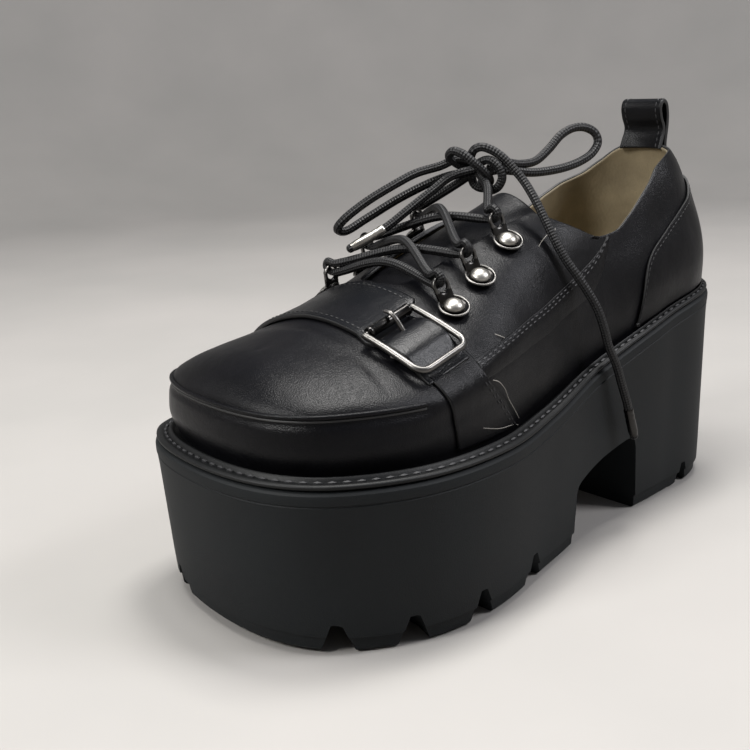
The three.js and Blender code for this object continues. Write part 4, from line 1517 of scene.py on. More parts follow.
RING_ROWS = ((0.665, 32.0), (0.598, 28.6), (0.518, 22.8))
RINGS = {(row, side): RingPlace(*place, side) for row, place in enumerate(RING_ROWS) for side in Side}


def at_station(x: float, s: float, z: float) -> Array:
    """A point given by width, station and height."""
    return np.array([x, HEEL_CENTRE - s, z])


@dataclass
class Lace:
    """The round lace: drawn through the rings, tied in a bow with long ends.

    Attributes:
        sides: how many sides its section has.
        crossings: station and height where its threads cross.
        bar: the middle of the bar between the front rings.
        riser: the way from each rear ring up to the knot.
        knot, back_loop, front_loop, side_end, front_end: routes by width, station and height.
    """

    sides: int = 12
    crossings: Rows = ((168.5, 120.6), (149.0, 130.4))
    bar: tuple[float, float, float] = (RIDGE_SHIFT, 177.5, 115.2)
    riser: Rows = ((8, 134, 139.5), (2.2, 131.6, 143.4))
    knot: Rows = (
        (-3.2, 131.3, 144.9), (-6.0, 136.3, 147.8), (-6.1, 139.9, 150.7), (-3.3, 140.6, 152.7),
        (0.9, 139.5, 151.6), (4.3, 137.1, 148.2), (6.0, 133.4, 144.6), (5.4, 129.4, 140.8),
        (2.1, 129.7, 138.0), (-1.2, 131.3, 139.6), (-1.8, 131.7, 143.8), (1.2, 131.5, 147.3),
        (5.8, 130.3, 148.9), (9.5, 128.8, 146.2), (10.4, 128.0, 142.1), (8.4, 128.7, 138.3),
        (4.9, 129.9, 137.4), (3.5, 131.8, 140.6), (5.1, 131.8, 143.7), (2.2, 132.6, 145.9),
    )
    back_loop: Rows = (
        (4.5, 128.4, 145.7), (6.7, 122.1, 147.2), (8.6, 115.5, 146.3), (10.4, 108.6, 147.0),
        (11.2, 101.1, 151.2), (12.5, 95.2, 156.3), (14.2, 89.8, 158.7), (16.4, 85.0, 158.7),
        (18.6, 81.3, 156.3), (19.6, 80.6, 152.8), (19.5, 84.1, 148.7), (18.3, 89.7, 145.9),
        (16.4, 96.7, 144.0), (13.8, 104.8, 143.0), (11.2, 112.5, 142.9), (8.6, 119.0, 143.9),
        (5.7, 125.1, 144.7), (4.0, 128.9, 144.2),
    )
    front_loop: Rows = (
        (-1.8, 132.7, 148.4), (-5.4, 136.2, 149.4), (-9.6, 141, 147), (-15, 149.2, 144.6),
        (-20, 157.5, 140.2), (-26.5, 166, 134.2), (-32, 173, 127.6), (-34.9, 173.4, 124.2),
        (-34.6, 170.2, 123), (-30.4, 161.6, 127.6), (-22.6, 151.8, 134.6), (-14.6, 142.8, 140.2),
        (-9.4, 138.6, 142.6), (-3.6, 134.8, 144.2),
    )
    side_end: Rows = (
        (-1.3, 133.3, 149.7), (0.6, 133.1, 152.7), (2.9, 131.6, 153.8), (6.2, 129.1, 152.5),
        (9.6, 127.1, 149.9), (13.1, 124.9, 145.7), (16.8, 123.3, 141.2), (21.6, 123.1, 135.4),
        (25.4, 123.0, 129.9), (29.2, 122.8, 123.8), (33.1, 122.2, 117.2), (35.9, 120.8, 112.0),
        (39.0, 118.7, 106.7), (42.4, 115.6, 99.7), (44.7, 112.9, 93.4), (46.2, 110.2, 85.3),
        (47.0, 107.8, 77.4), (48.1, 104.4, 70.1), (48.4, 100.5, 60.8), (48.6, 97.0, 52.6),
        (48.6, 94.2, 44.8), (48.9, 91.8, 37.4),
    )
    front_end: Rows = (
        (1.6, 132.4, 145.6), (-4.2, 140.6, 143.2), (-7.6, 147.4, 138.4), (-12.4, 156, 131.6),
        (-16.6, 164, 125.4), (-20, 171, 121.4), (-23, 177.4, 118.2),
    )

    def build(self) -> None:
        """Makes the knot, the loops, the ends and the sewn crossings."""
        self.cord("lace_bow_knot", self.knot, "lace_knot", 170)
        self.cord("lace_bow_loop_back", self.back_loop, "lace_loop_back", 120)
        self.cord("lace_bow_loop_front", self.front_loop, "lace_loop_front", 120)
        self.cord("lace_long_end", self.side_end, "lace_end_side", 150, 13.0, PALETTE.gunmetal)
        self.cord("lace_short_end", self.front_end, "lace_end_front", 70, 15.0, PALETTE.ferrule)
        self.sewn()

    def cord(
        self,
        name: str,
        points: Rows,
        node: str,
        count: int,
        tip: float = 0.0,
        metal: Material | None = None,
    ) -> None:
        """Makes one free stretch of the lace.

        Args:
            name: the piece's name.
            points: width, station and height of its route.
            node: the CAD node that it stands for.
            count: how many points its route gets.
            tip: the length of its tip, 0 for none.
            metal: the tip's material.
        """
        path = spline([at_station(*p) for p in points], count)
        made = make_object(name, tube(path, LACE, self.sides), [PALETTE.lace], [node])
        pieces = [self.tip(name + "_tip", path, tip, metal)] if metal else []

    def tip(self, name: str, path: Array, length: float, metal: Material) -> bpy.types.Object:
        """Makes the crimped tip over the last of a lace end.

        Args:
            name: the tip's name.
            path: the lace end's points.
            length: the tip's length.
            metal: its material.

        Returns:
            The tip.
        """
        run = run_along(path)
        share = np.linspace(0, 1, 24)
        radius = LACE + 0.28 - 0.35 * smooth_step((share - 0.75) / 0.25)
        for crimp in (0.12, 0.3):
            radius = radius - 0.16 * bump_at(share, crimp, 0.03)
        bm = tube(resample(path[run > run[-1] - length], len(share)), radius, 20)
        return make_object(name, bm, [metal], ())

    def squeezed(self, path: Array) -> Array:
        """The lace's radius along a path, pressed thinner where it passes a ring's eye.

        Args:
            path: the lace's points.

        Returns:
            The radius at each.
        """
        eyes = np.array([place.turn()[1] for place in RINGS.values()])
        near = np.linalg.norm(path[:, None] - eyes[None], axis=2).min(axis=1)
        return LACE * (0.8 + 0.2 * smooth_step((near - 3.5) / 4))

    def sewn(self) -> None:
        """Makes the lace through the rings: two threads that cross, the bar below and the risers."""
        lift = np.array([0, 0, LACE * 0.92])
        cross = [at_station(RIDGE_SHIFT, s, z) for s, z in self.crossings]
        parts = []
        for side in Side:
            points = [*RINGS[0, side].turn(), cross[0] + side * lift, *RINGS[1, -side].turn()]
            points += [cross[1] - side * lift, *RINGS[2, side].turn()]
            path = spline(points, 240)
            parts.append(tube(path, self.squeezed(path), self.sides))
        front = [RINGS[0, side].turn()[0] for side in Side]
        low = [front[0], at_station(*self.bar), front[1]]
        parts.append(tube(spline(low, 50), LACE, self.sides))
        for side in Side:
            rise = [at_station(side * x, s, z) for x, s, z in self.riser]
            high = [RINGS[2, side].turn()[-1], *rise]
            parts.append(tube(spline(high, 30), LACE, self.sides))
        make_object("lace_sewn", joined(parts), [PALETTE.lace], ["lace_crossings"])


def round_sole(steps: int, inset: float, share: float, height: float) -> Array:
    """A line round the sole's top.

    Args:
        steps: how many steps each of its sides has.
        inset: how far in it is from the sole's outline.
        share: what share of the welt's width it is further in.
        height: its height over the sole's top.

    Returns:
        The line's points.
    """
    angle, side = ring_places(steps)
    s = FORM.plan.edge(angle, side)[1]
    x, station = FORM.plan.inset(angle, side, inset + share * FORM.plan.welt(s))
    return np.stack([x, HEEL_CENTRE - station, FORM.plan.top(s) + height], -1)


def stacked(rings: Array, steps: int) -> Mesh:
    """A closed block from its levels.

    Args:
        rings: the levels' points, from the bottom to the top.
        steps: how many steps each side of a ring has.

    Returns:
        The mesh.
    """
    walls = grid(rings, around=True, flip=True)
    bm = joined([walls, grid(lid(rings[0], steps)), grid(lid(rings[-1], steps))])
    bmesh.ops.remove_doubles(bm, verts=bm.verts, dist=1e-3)
    bmesh.ops.recalc_face_normals(bm, faces=bm.faces)
    return bm


@dataclass
class PlatformSole:
    """The moulded platform with its heel, arch, lugs and the lines round its edge.

    Attributes:
        steps: how many steps each side of a ring has.
        levels: each level's inset, share of the toe's lean, height over the tread and depth under the top.
        arch: the arch's section, by station past the heel and by height.
        notches: each notch's share along the sole, side, mouth and height.
        notch_depth: how far the notches run in under the sole.
        apex: their width at the top.
    """

    steps: int = 120
    levels: Rows = (
        (4.2, 1.0, 0.0, -1.0), (3.3, 0.98, 0.5, -1.0), (2.6, 0.97, 1.4, -1.0), (2.28, 0.93, 5.2, -1.0),
        (2.22, 0.92, 5.6, -1.0), (1.8, 0.91, 5.9, -1.0), (1.3, 0.9, 6.2, -1.0),
        (1.12, 0.72, 14.0, -1.0), (0.45, 0.1, -1.0, 9.5), (0.2, 0.04, -1.0, 5.4),
        (0.5, 0.0, -1.0, 5.05), (0.5, 0.0, -1.0, 4.75), (0.05, 0.0, -1.0, 4.4), (0.0, 0.0, -1.0, 2.2),
        (0.18, 0.0, -1.0, 1.3), (0.7, 0.0, -1.0, 0.6), (1.4, 0.0, -1.0, 0.2), (2.4, 0.0, -1.0, 0.0),
    )
    arch: Rows = (
        (-1.5, -2), (0.0, 8), (0.8, 22), (1.2, 28.6), (2.2, 31.8), (4.4, 33.5), (8, 33.5), (12, 32.9),
        (24, 30.6), (36, 27.6),
        (FOREPART_START - HEEL_REACH - 4.4, 25.8),
        (FOREPART_START - HEEL_REACH - 2.0, 24.6),
        (FOREPART_START - HEEL_REACH - 0.7, 22.4),
        (FOREPART_START - HEEL_REACH + 0.6, 10),
        (FOREPART_START - HEEL_REACH + 1.4, -2),
    )
    notches: tuple[tuple[float, int, float, float], ...] = (
        (0.155, 1, 10, 11), (0.608, 1, 15, 12.5), (0.735, 1, 13, 12.5), (0.845, 1, 13, 12.5),
        (0.935, 1, 13, 12.5), (0.985, -1, 12, 12.5), (0.91, -1, 13, 12.5), (0.81, -1, 13, 12.5),
        (0.705, -1, 13, 12.5), (0.595, -1, 14, 12.5), (0.155, -1, 10, 11),
    )
    notch_depth: float = 26.0
    apex: float = 2.2

    def ring(self, inset: float, lean: float, above: float, below: float) -> Array:
        """One level of the block.

        Args:
            inset: how far in from the outline.
            lean: its share of the toe wall's lean.
            above: its height over the tread.
            below: how far it is under the top, below 0 where above holds.

        Returns:
            The level's points.
        """
        angle, side = ring_places(self.steps)
        s = FORM.plan.edge(angle, side)[1]
        z = FORM.plan.spring(s) + above if below < 0 else FORM.plan.top(s) - below
        x, station = FORM.plan.inset(angle, side, inset + lean * FORM.plan.lean(s))
        return np.stack([x, HEEL_CENTRE - station, z], -1)

    def block(self) -> Mesh:
        """The platform before its arch and notches are cut."""
        return stacked(np.stack([self.ring(*level) for level in self.levels]), self.steps)

    def arch_cutter(self) -> Mesh:
        """The space under the waist.

        Returns:
            A bar of its section, wider than the sole.
        """
        bm = bmesh.new()
        half = 90.0
        verts = [bm.verts.new((-half, HEEL_CENTRE - HEEL_REACH - ahead, z)) for ahead, z in self.arch]
        moved = bmesh.ops.extrude_face_region(bm, geom=[bm.faces.new(verts)])
        corners = [v for v in moved["geom"] if isinstance(v, bmesh.types.BMVert)]
        bmesh.ops.translate(bm, vec=(2 * half, 0, 0), verts=corners)
        return bm

    def notch_cutter(self, along: float, side: int, mouth: float, height: float) -> Mesh:
        """One tapering notch between two lugs.

        Args:
            along: its share along the sole.
            side: 1 or -1.
            mouth: its width at the tread.
            height: its height at the wall.

        Returns:
            The shape to cut away.
        """
        angle, way = np.array([math.acos(1 - 2 * along)]), np.array([float(side)])
        outer = np.array([v[0] for v in FORM.plan.edge(angle, way)])
        inner = np.array([v[0] for v in FORM.plan.inset(angle, way, np.array([1.0]))])
        step = inner - outer
        lift = float(FORM.plan.spring(outer[1]))
        foot = mouth / 2 + 1.2
        bm = bmesh.new()
        edges = []
        for inward, top in ((-4, height * 1.12), (self.notch_depth, 0.4)):
            centre = outer + step * inward
            corners = ((-foot, -2), (foot, -2), (self.apex / 2, top), (-self.apex / 2, top))
            verts = []
            for across, z in corners:
                x, s = centre[0] - step[1] * across, centre[1] + step[0] * across
                verts.append(bm.verts.new((x, HEEL_CENTRE - s, lift + z)))
            edges += bm.faces.new(verts).edges
        bmesh.ops.bridge_loops(bm, edges=edges)
        bmesh.ops.recalc_face_normals(bm, faces=bm.faces)
        return bm

    def build(self) -> None:
        """Makes the platform."""
        cutters = [self.arch_cutter(), *(self.notch_cutter(*notch) for notch in self.notches)]
        bm = cut(self.block(), cutters)
        make_object("platform_moulded", bm, [PALETTE.sole], ["platform_sole"], sharp=24)


@dataclass
class Welt:
    """The stitched rubber welt on the platform's edge.

    Attributes:
        steps: how many steps each side of its ring has.
        section: each corner's inset, share of the welt's width and height over the sole's top.
        seam: the stitch row's place, given in the same way.
        stitch: its stitches.
    """

    steps: int = 180
    section: Rows = (
        (1.3, 0.0, 0.3), (0.8, 0.0, 0.6), (0.6, 0.0, 1.1), (0.7, 0.0, 1.6), (1.0, 0.04, 2.0),
        (1.0, 0.14, 2.15), (0.9, 0.2, 1.8), (0.9, 0.26, 1.55), (0.4, 0.44, 1.6), (0.2, 0.5, 2.1),
        (0.1, 0.55, 2.85), (0.0, 0.61, 3.1), (-0.2, 0.68, 2.95), (-0.4, 0.75, 2.2), (-0.5, 0.84, 1.5),
        (-0.7, 1.0, 1.3), (-0.7, 1.0, 0.3),
    )
    seam: tuple[float, float, float] = (0.65, 0.34, 1.75)
    stitch: Stitch = Stitch(4.6, (1.75, 0.66, 0.75))

    def build(self) -> None:
        """Makes the welt and its stitches."""
        rows = np.stack([round_sole(self.steps, *place) for place in self.section])
        bm = grid(rows, around=True, joined=True)
        bmesh.ops.recalc_face_normals(bm, faces=bm.faces)
        make_object("welt_stitched", bm, [PALETTE.welt], ["welt"], sharp=50)
        path = round_sole(self.steps, *self.seam)
        path = np.concatenate([path, path[:1]])
        out = np.tile(np.array([0.0, 0.0, 1.0]), (len(path), 1))
        self.stitch.sew("welt_stitches", path, out, PALETTE.thread, "welt")


@dataclass
class Upper:
    """The lasted leather with its lining and the insole."""

    steps: int = 190
    rows: int = 54
    leather: float = 1.15
    lining: float = 0.75
    ridge_weld: float = 0.02
    insole_levels: Rows = ((3.2, 0.3), (2.95, 0.9), (2.95, 2.6), (3.3, 3.1), (4.2, 3.3))

    def sheet(self, offset: float, start: float = 0.0, trim: tuple[float, float] = (0.0, 0.0)) -> Array:
        """Points over the last from its foot to the collar, the throat or the ridge.

        Args:
            offset: height over the last.
            start: share up the columns where the sheet begins.
            trim: how much lower it stops at the collar and at the throat.

        Returns:
            Rows of points.
        """
        angle, side = ring_places(self.steps)
        top = FORM.first(angle, side, lambda p: FORM.is_open(p, trim[0], trim[1]))
        share = np.linspace(0, 1, self.rows)[:, None]
        t = start + (top[None] - start) * share
        points = FORM.surface(np.tile(angle, (self.rows, 1)), np.tile(side, (self.rows, 1)), t, offset)
        count = len(angle)
        for j in range(1, self.steps):
            other = count - j
            if top[j] > 0.9999 and top[other] > 0.9999:
                middle = (points[-1, j] + points[-1, other]) / 2
                points[-1, j] = points[-1, other] = middle
        return points

    def build(self) -> None:
        """Makes the leather, the lining and the insole."""
        shell = grid(self.sheet(0.0), around=True, flip=True)
        bmesh.ops.remove_doubles(shell, verts=shell.verts, dist=self.ridge_weld)
        leather_piece("upper_leather", shell, self.leather, nodes=["upper"], sharp=60)
        inner = grid(self.sheet(-self.leather - 0.1, 0.02, (0.3, 4.5)), around=True, flip=True)
        bmesh.ops.remove_doubles(inner, verts=inner.verts, dist=self.ridge_weld)
        finishes = [PALETTE.lining, PALETTE.raw_edge]
        thicken(make_object("upper_lining", inner, finishes, (), sharp=60), self.lining)
        self.insole()

    def insole(self) -> None:
        """Makes the cushioned insole inside the shoe."""
        rings = [round_sole(self.steps, inset, 1.0, height) for inset, height in self.insole_levels]
        bm = stacked(np.stack(rings), self.steps)
        make_object("insole_covered", bm, [PALETTE.lining], ["insole"], sharp=50)


@dataclass
class Overlays:
    """The sewn pieces over the upper: facings with the quarter's edge, heel counter and toe seam."""

    lift: float = 1.5
    facing_lift: float = 0.75
    thick: float = 0.9
    strap_rear: float = 186.5
    seam_height: float = 79.8
    edge_stitch: Stitch = Stitch(3.4, (1.15, 0.29, 0.3))
    counter_stitch: Stitch = Stitch(2.6, (0.95, 0.26, 0.24))
    quarter_seam: Rows = (
        (87, 126), (88.6, 117.5), (94, 112.6), (106, 106.6), (131.5, 99), (157, 93.4), (185.8, 87.2),
        (192, 86),
    )
    counter: Rows = (
        (78.6, 70), (77.4, 79), (72.6, 97.8), (67, 106.4), (52.6, 115.6), (38.5, 123.4), (30, 127.4),
        (20, 133), (12, 137),
    )

    def build(self) -> None:
        """Makes every overlay and its stitches."""
        for side in Side:
            self.facing(side, f"facing_{side.name.lower()}")
        self.heel_counter()
        self.toe_seam()

    def quarter_edge(self, side: int, name: str, low: Array, high: Array) -> None:
        """Makes the folded top edge of the quarter, which is sewn over the facing with two rows.

        Args:
            side: 1 or -1.
            name: the facing's name.
            low: signed angles and shares of the seam.
            high: those of the facing's upper edge.
        """
        seen = HEEL_CENTRE - on_last(low[:, 0], low[:, 1], 0.0)[:, 1] < self.strap_rear
        low, high = low[seen], high[seen]
        foot, top = on_last(low[:, 0], low[:, 1], 0.0), on_last(high[:, 0], high[:, 1], 0.0)
        share = (high - low) / np.maximum(np.linalg.norm(top - foot, axis=1), 6.0)[:, None]
        share *= 0.22 + 0.78 * smooth_step(run_along(foot) / 26)[:, None]
        depth = np.array([0.0, 1.2, 2.4, 3.6, 5.0, 7.0, 9.5, 13.0])
        lift = 1.25 * (1 - smooth_step((depth - 2.5) / 10.5)) - 0.03
        both = (low + share * 0.5)[None] - share[None] * depth[::-1, None, None]
        points = on_last(both[..., 0], both[..., 1], lift[::-1, None])
        leather_piece(name + "_quarter_edge", grid(points, flip=side > 0), 1.1)
        for k, inset in enumerate((1.1, 2.7)):
            line, out = seam(low + share * (0.5 - inset), float(np.interp(inset, depth, lift)) + 0.03)
            self.edge_stitch.sew(f"{name}_stitches_{k + 1}", line, out, PALETTE.thread)

    def facing(self, side: int, name: str) -> None:
        """Makes one facing, from the quarter seam up to the collar and the throat.

        Args:
            side: 1 or -1.
            name: its CAD node.
        """
        count, rows = 150, 40
        low = side_line(self.quarter_seam, side, count)
        turn = np.linspace(low[0, 0], low[-1, 0], count)
        top = FORM.first(np.abs(turn), np.full(count, float(side)), lambda p: FORM.is_open(p, 1.0))
        high = np.stack([turn, np.minimum(top, 0.985)], -1)
        keep = high[:, 1] > low[:, 1] + 0.012
        first = int(np.argmax(keep))
        low, high = low[first:], high[first:]
        station = HEEL_CENTRE - patch(low, high, rows, 0.0)[..., 1]
        lift = self.facing_lift + (0.2 - self.facing_lift) * smooth_step((station - self.strap_rear) / 4)
        bm = grid(patch(low, high, rows, lift), flip=side > 0)
        leather_piece(name + "_leather", bm, self.thick, nodes=[name], sharp=70)
        self.quarter_edge(side, name, low, high)

    def heel_counter(self) -> None:
        """Makes the counter that wraps the heel from side to side."""
        edge = np.concatenate([side_line(self.counter, side, 70) for side in Side])
        edge = edge[np.argsort(edge[:, 0])]
        turn = np.linspace(edge[0, 0], edge[-1, 0], 220)
        top = np.interp(turn, edge[:, 0], edge[:, 1])
        low = np.stack([turn, np.full(220, 0.055)], -1)
        high = np.stack([turn, np.maximum(top, 0.07)], -1)
        bm = grid(patch(low, high, 40, self.lift), flip=True)
        leather_piece("heel_counter_leather", bm, self.thick, nodes=["heel_counter"], sharp=70)
        tall = np.linalg.norm(seam(low, self.lift)[0] - seam(high, self.lift)[0], axis=1)
        line = high + (low - high) * np.clip(1.6 / tall, 0, 1)[:, None]
        path, out = seam(line, self.lift + 0.02)
        self.counter_stitch.sew("heel_counter_stitches", path, out, PALETTE.ink_and_painted_shade)

    def toe_seam(self) -> None:
        """Makes the rolled seam round the toe, and under it a thin dark tube that is a painted shadow line.
        """
        angle = np.linspace(math.acos(1 - 2 * 0.806), PI - 0.001, 70)
        points = []
        for side in Side:
            low, high = np.full(70, 0.05), np.full(70, 0.95)
            ways = np.full(70, float(side))
            found = narrowed(low, high, 26, lambda t: FORM.point(angle, ways, t)[:, 2] < self.seam_height)
            t = sum(found) / 2
            line = FORM.point(angle, ways, t) + FORM.normal(angle, ways, t) * 0.42
            points.append(line if side > 0 else line[::-1])
        path = resample(np.concatenate(points), 220)
        make_object("toe_seam_piping", tube(path, 0.85, 12), [PALETTE.leather], ["plug_seam"])
        # A thin dark tube just under the piping: a painted shadow line where the seam's ridge casts shade.
        drop = path - np.array([0.0, 0.0, 1.25])
        make_object("toe_seam_painted_shadow_line", tube(drop, 0.5, 8), [PALETTE.ink_and_painted_shade])


@dataclass
class Tongue:
    """The tongue under the lacing."""

    thick: float = 2.0
    offset: float = -2.3
    stations: tuple[float, ...] = (113, 120, 172, 184)
    right: tuple[float, ...] = (17, 19, 19, 15)
    left: tuple[float, ...] = (-22, -24, -24, -20)

    def build(self) -> None:
        """Makes the tongue."""
        station = np.linspace(self.stations[0], self.stations[-1], 60)
        right, left = (np.interp(station, self.stations, edge) for edge in (self.right, self.left))
        share = np.linspace(0, 1, 36)[:, None]
        angle, side, t = FORM.from_above(left + (right - left) * share, np.tile(station, (36, 1)))
        bm = grid(FORM.surface(angle, side, t, self.offset))
        if sum(face.normal.z for face in bm.faces) < 0:
            bmesh.ops.reverse_faces(bm, faces=bm.faces)
        leather_piece("tongue_leather", bm, self.thick, 0.4, ["tongue"])


@dataclass
class Buckle:
    """The roller buckle: bowed frame, roller, prong, and the axes that it lies in."""

    near: tuple[float, float] = (0.768, 23.6)
    far: tuple[float, float] = (0.746, 46.8)
    stand: float = 4.6
    long: float = 26.0
    bar: float = 2.6
    bar_drop: float = -1.3
    roller: float = 4.2
    collar: Rows = ((-0.25, 0.0), (0.0, 0.3), (0.0, 1.3), (-0.16, 1.5))
    prong: Rows = (
        (-1.35, -1.3), (-4.4, -1.1), (-7.2, 0.9), (-9.6, 2.8), (-12.3, 3.65), (-14.6, 3.0),
    )

    def __post_init__(self) -> None:
        """Finds the buckle's place on the last."""
        near, far = FORM.place(self.near[0], 1, self.near[1])[0], FORM.place(self.far[0], 1, self.far[1])[0]
        along, x = (self.near[0] + self.far[0]) / 2, (self.near[1] + self.far[1]) / 2
        half = self.long / 2 / LENGTH
        behind, ahead = FORM.place(along - half, 1, x)[0], FORM.place(along + half, 1, x)[0]
        self.across = (far - near).normalized()
        self.normal = self.across.cross(behind - ahead).normalized()
        self.lengthwise = self.normal.cross(self.across).normalized()
        self.wide = (far - near).length
        self.near_x = near.x
        self.middle = near.lerp(far, 0.5) + self.normal * self.stand

    def frame(self) -> Matrix:
        """The buckle's own frame: x across, y lengthwise, z out."""
        turn = Matrix((self.across, self.lengthwise, self.normal)).transposed().to_4x4()
        return Matrix.Translation(self.middle) @ turn

    def put(self, points: Rows) -> Array:
        """Points of the buckle's frame in the shoe's."""
        return np.array([self.frame() @ Vector(p) for p in points])

    def build(self) -> None:
        """Makes the frame, the roller and the prong."""
        half, reach, corner = self.wide / 2, self.long / 2 - self.bar / 2, 4.0
        outline = [(-half, -reach, 0.0)]
        for cx, cy, start in ((half - corner, -reach + corner, -90), (half - corner, reach - corner, 0)):
            for k in range(9):
                a = math.radians(start + 90 * k / 8)
                outline.append((cx + corner * math.cos(a), cy + corner * math.sin(a), 0.0))
        outline.append((-half, reach, 0.0))
        path = resample(np.array(outline), 130)
        path[:, 2] += 0.5 * (1 - (path[:, 0] / half) ** 2)
        parts = [tube(self.put(path), 1.2, 16)]
        for x, z in ((-half, 0.0), (0.0, self.bar_drop)):
            parts.append(tube(self.put([(x, v, z) for v in np.linspace(-reach, reach, 20)]), 0.95, 12))
        make_object("buckle_bow", joined(parts), [PALETTE.nickel], ["buckle_frame"])
        self.roll(half)
        curve = spline([(u, 0.0, n) for u, n in self.prong], 50)
        taper = 0.95 - 0.25 * np.linspace(0, 1, 50) ** 2
        bow = -self.prong[0][0]
        turns = np.linspace(PI, -PI * 0.6, 24)
        loop = [(bow * math.cos(a), 0.0, self.bar_drop + bow * math.sin(a)) for a in turns]
        bm = joined([tube(self.put(curve), taper, 14), tube(self.put(loop), 0.85, 12)])
        make_object("buckle_tongue_pin", bm, [PALETTE.nickel], ["buckle_prong"])

    def roll(self, half: float) -> None:
        """Makes the roller on its side of the frame.

        Args:
            half: half of the frame's width.
        """
        length, bore = self.long / 2 - self.bar - 0.4, 1.25
        profile = [(bore, -length), *((self.roller / 2 + out, b - length) for out, b in self.collar)]
        profile += [(a, -b) for a, b in reversed(profile)]
        profile += [(bore, -length)]
        stand = self.frame() @ Matrix.Translation((-half, 0, 0)) @ Matrix.Rotation(PI / 2, 4, "X")
        bm = turned(profile, stand, 32)
        make_object("buckle_roller_tube", bm, [PALETTE.gunmetal], ["buckle_roller"], sharp=50)


@dataclass
class Strap:
    """The strap over the instep, from the inner welt to the buckle."""

    buckle: Buckle
    lift: float = 2.1
    thick: float = 1.8
    stitch: Stitch = Stitch(2.8, (1.05, 0.3, 0.3))
    rear: Rows = ((52, 174), (72, 178.4), (88, 183), (100, 184.6), (130, 184.6))
    front: Rows = ((52, 199), (72, 204), (86, 209.5), (95, 211.5), (130, 212.5))
    hump: Rows = (
        (-0.5, -3.0), (-0.37, -1.95), (-0.2, 0.55), (0.0, 1.2), (0.18, 0.7), (0.34, -1.4), (0.5, -3.2),
        (0.61, -3.9),
    )

    def at(self, t: Array, side: Array, share: Array) -> Array:
        """Points of the strap on the last.

        Args:
            t: shares up the columns.
            side: 1 or -1 for each.
            share: shares from the rear edge to the front edge.

        Returns:
            The points.
        """

        def behind(angle: Array) -> Array:
            """True where a column's point lies behind its place on the strap."""
            p = FORM.point(angle, side, t)
            rear, front = (np.interp(p[..., 2], *np.array(edge).T) for edge in (self.rear, self.front))
            return HEEL_CENTRE - p[..., 1] < rear + (front - rear) * share

        angle = sum(narrowed(np.zeros_like(t), np.full_like(t, PI), 30, behind)) / 2
        return FORM.surface(angle, side, t, self.lift)

    def build(self) -> None:
        """Makes the strap and its stitches."""
        share = np.linspace(0, 1, 19)
        inner = [(t, -1.0) for t in np.linspace(0.07, 0.985, 44)]
        outer = [(t, 1.0) for t in np.linspace(0.985, 0.5, 40)]
        rows = []
        for t, side in inner + outer:
            row = self.at(np.full(19, t), np.full(19, side), share)
            if side > 0 and row[9, 0] > self.buckle.near_x - 2.5:
                break
            rows.append(row)
        wide = self.buckle.wide
        fine = spline([(a * wide, 0.0, n) for a, n in self.hump], 40)
        for k, (u, _, n) in enumerate(fine):
            half = 10.15 + 1.0 * math.exp(-k / 5)
            rows.append(self.buckle.put([(u, -(2 * v - 1) * half, n) for v in share]))
        points = np.stack(rows)
        leather_piece("strap_leather", grid(points), self.thick, 0.45, ["strap"], 70, PALETTE.strap_leather)
        for k, place in enumerate((0.085, 0.915)):
            column = 18 * place
            i, u = int(column), column - int(column)
            line = points[:-30, i] * (1 - u) + points[:-30, i + 1] * u
            out = np.cross(points[:-30, 18] - points[:-30, 0], np.gradient(line, axis=0))
            path = resample(line, 200)
            out = resample(out / np.linalg.norm(out, axis=1, keepdims=True), 200)
            self.stitch.sew(f"strap_stitches_{k + 1}", path, out, PALETTE.ink_and_painted_shade)


@dataclass
class Anchor:
    """The leather tab that holds the buckle to the outer side, part of the outer facing."""

    lift: float = 1.1
    thick: float = 1.0
    stitch: Stitch = Stitch(3.6, (1.15, 0.29, 0.3))
    rear: Rows = (
        (60.5, 165.4), (69.5, 173.5), (78.8, 181.4), (81.5, 183.8), (86.2, 185.6), (92, 187),
    )
    front: Rows = ((60, 199), (75.2, 202.5), (81, 204.6), (85.3, 206), (92, 207))

    def build(self) -> None:
        """Makes the tab and its stitches."""
        v = np.linspace(0, 1, 30)
        z = np.linspace(61, 92, 36)
        rear, front = (np.interp(z, *np.array(edge).T) for edge in (self.rear, self.front))
        s = rear[:, None] + (front - rear)[:, None] * v[None]
        angle, t = FORM.from_side(s, np.tile(z[:, None], (1, 30)), 1)
        points = FORM.surface(angle, np.ones_like(angle), t, self.lift)
        leather_piece("anchor_leather", grid(points, flip=True), self.thick)
        out = FORM.normal(angle, np.ones_like(angle), t)
        for k, inset in enumerate((0.9, 2.6)):
            share = inset / np.linalg.norm(points[:, -1] - points[:, 0], axis=1)[:, None] * 29
            low = np.floor(share[:, 0]).astype(int)
            rows = np.arange(36)
            part = share - low[:, None]
            path = points[rows, low] * (1 - part) + points[rows, low + 1] * part
            self.stitch.sew(f"anchor_stitches_{k + 1}", path[:29], out[:29, 1], PALETTE.thread)


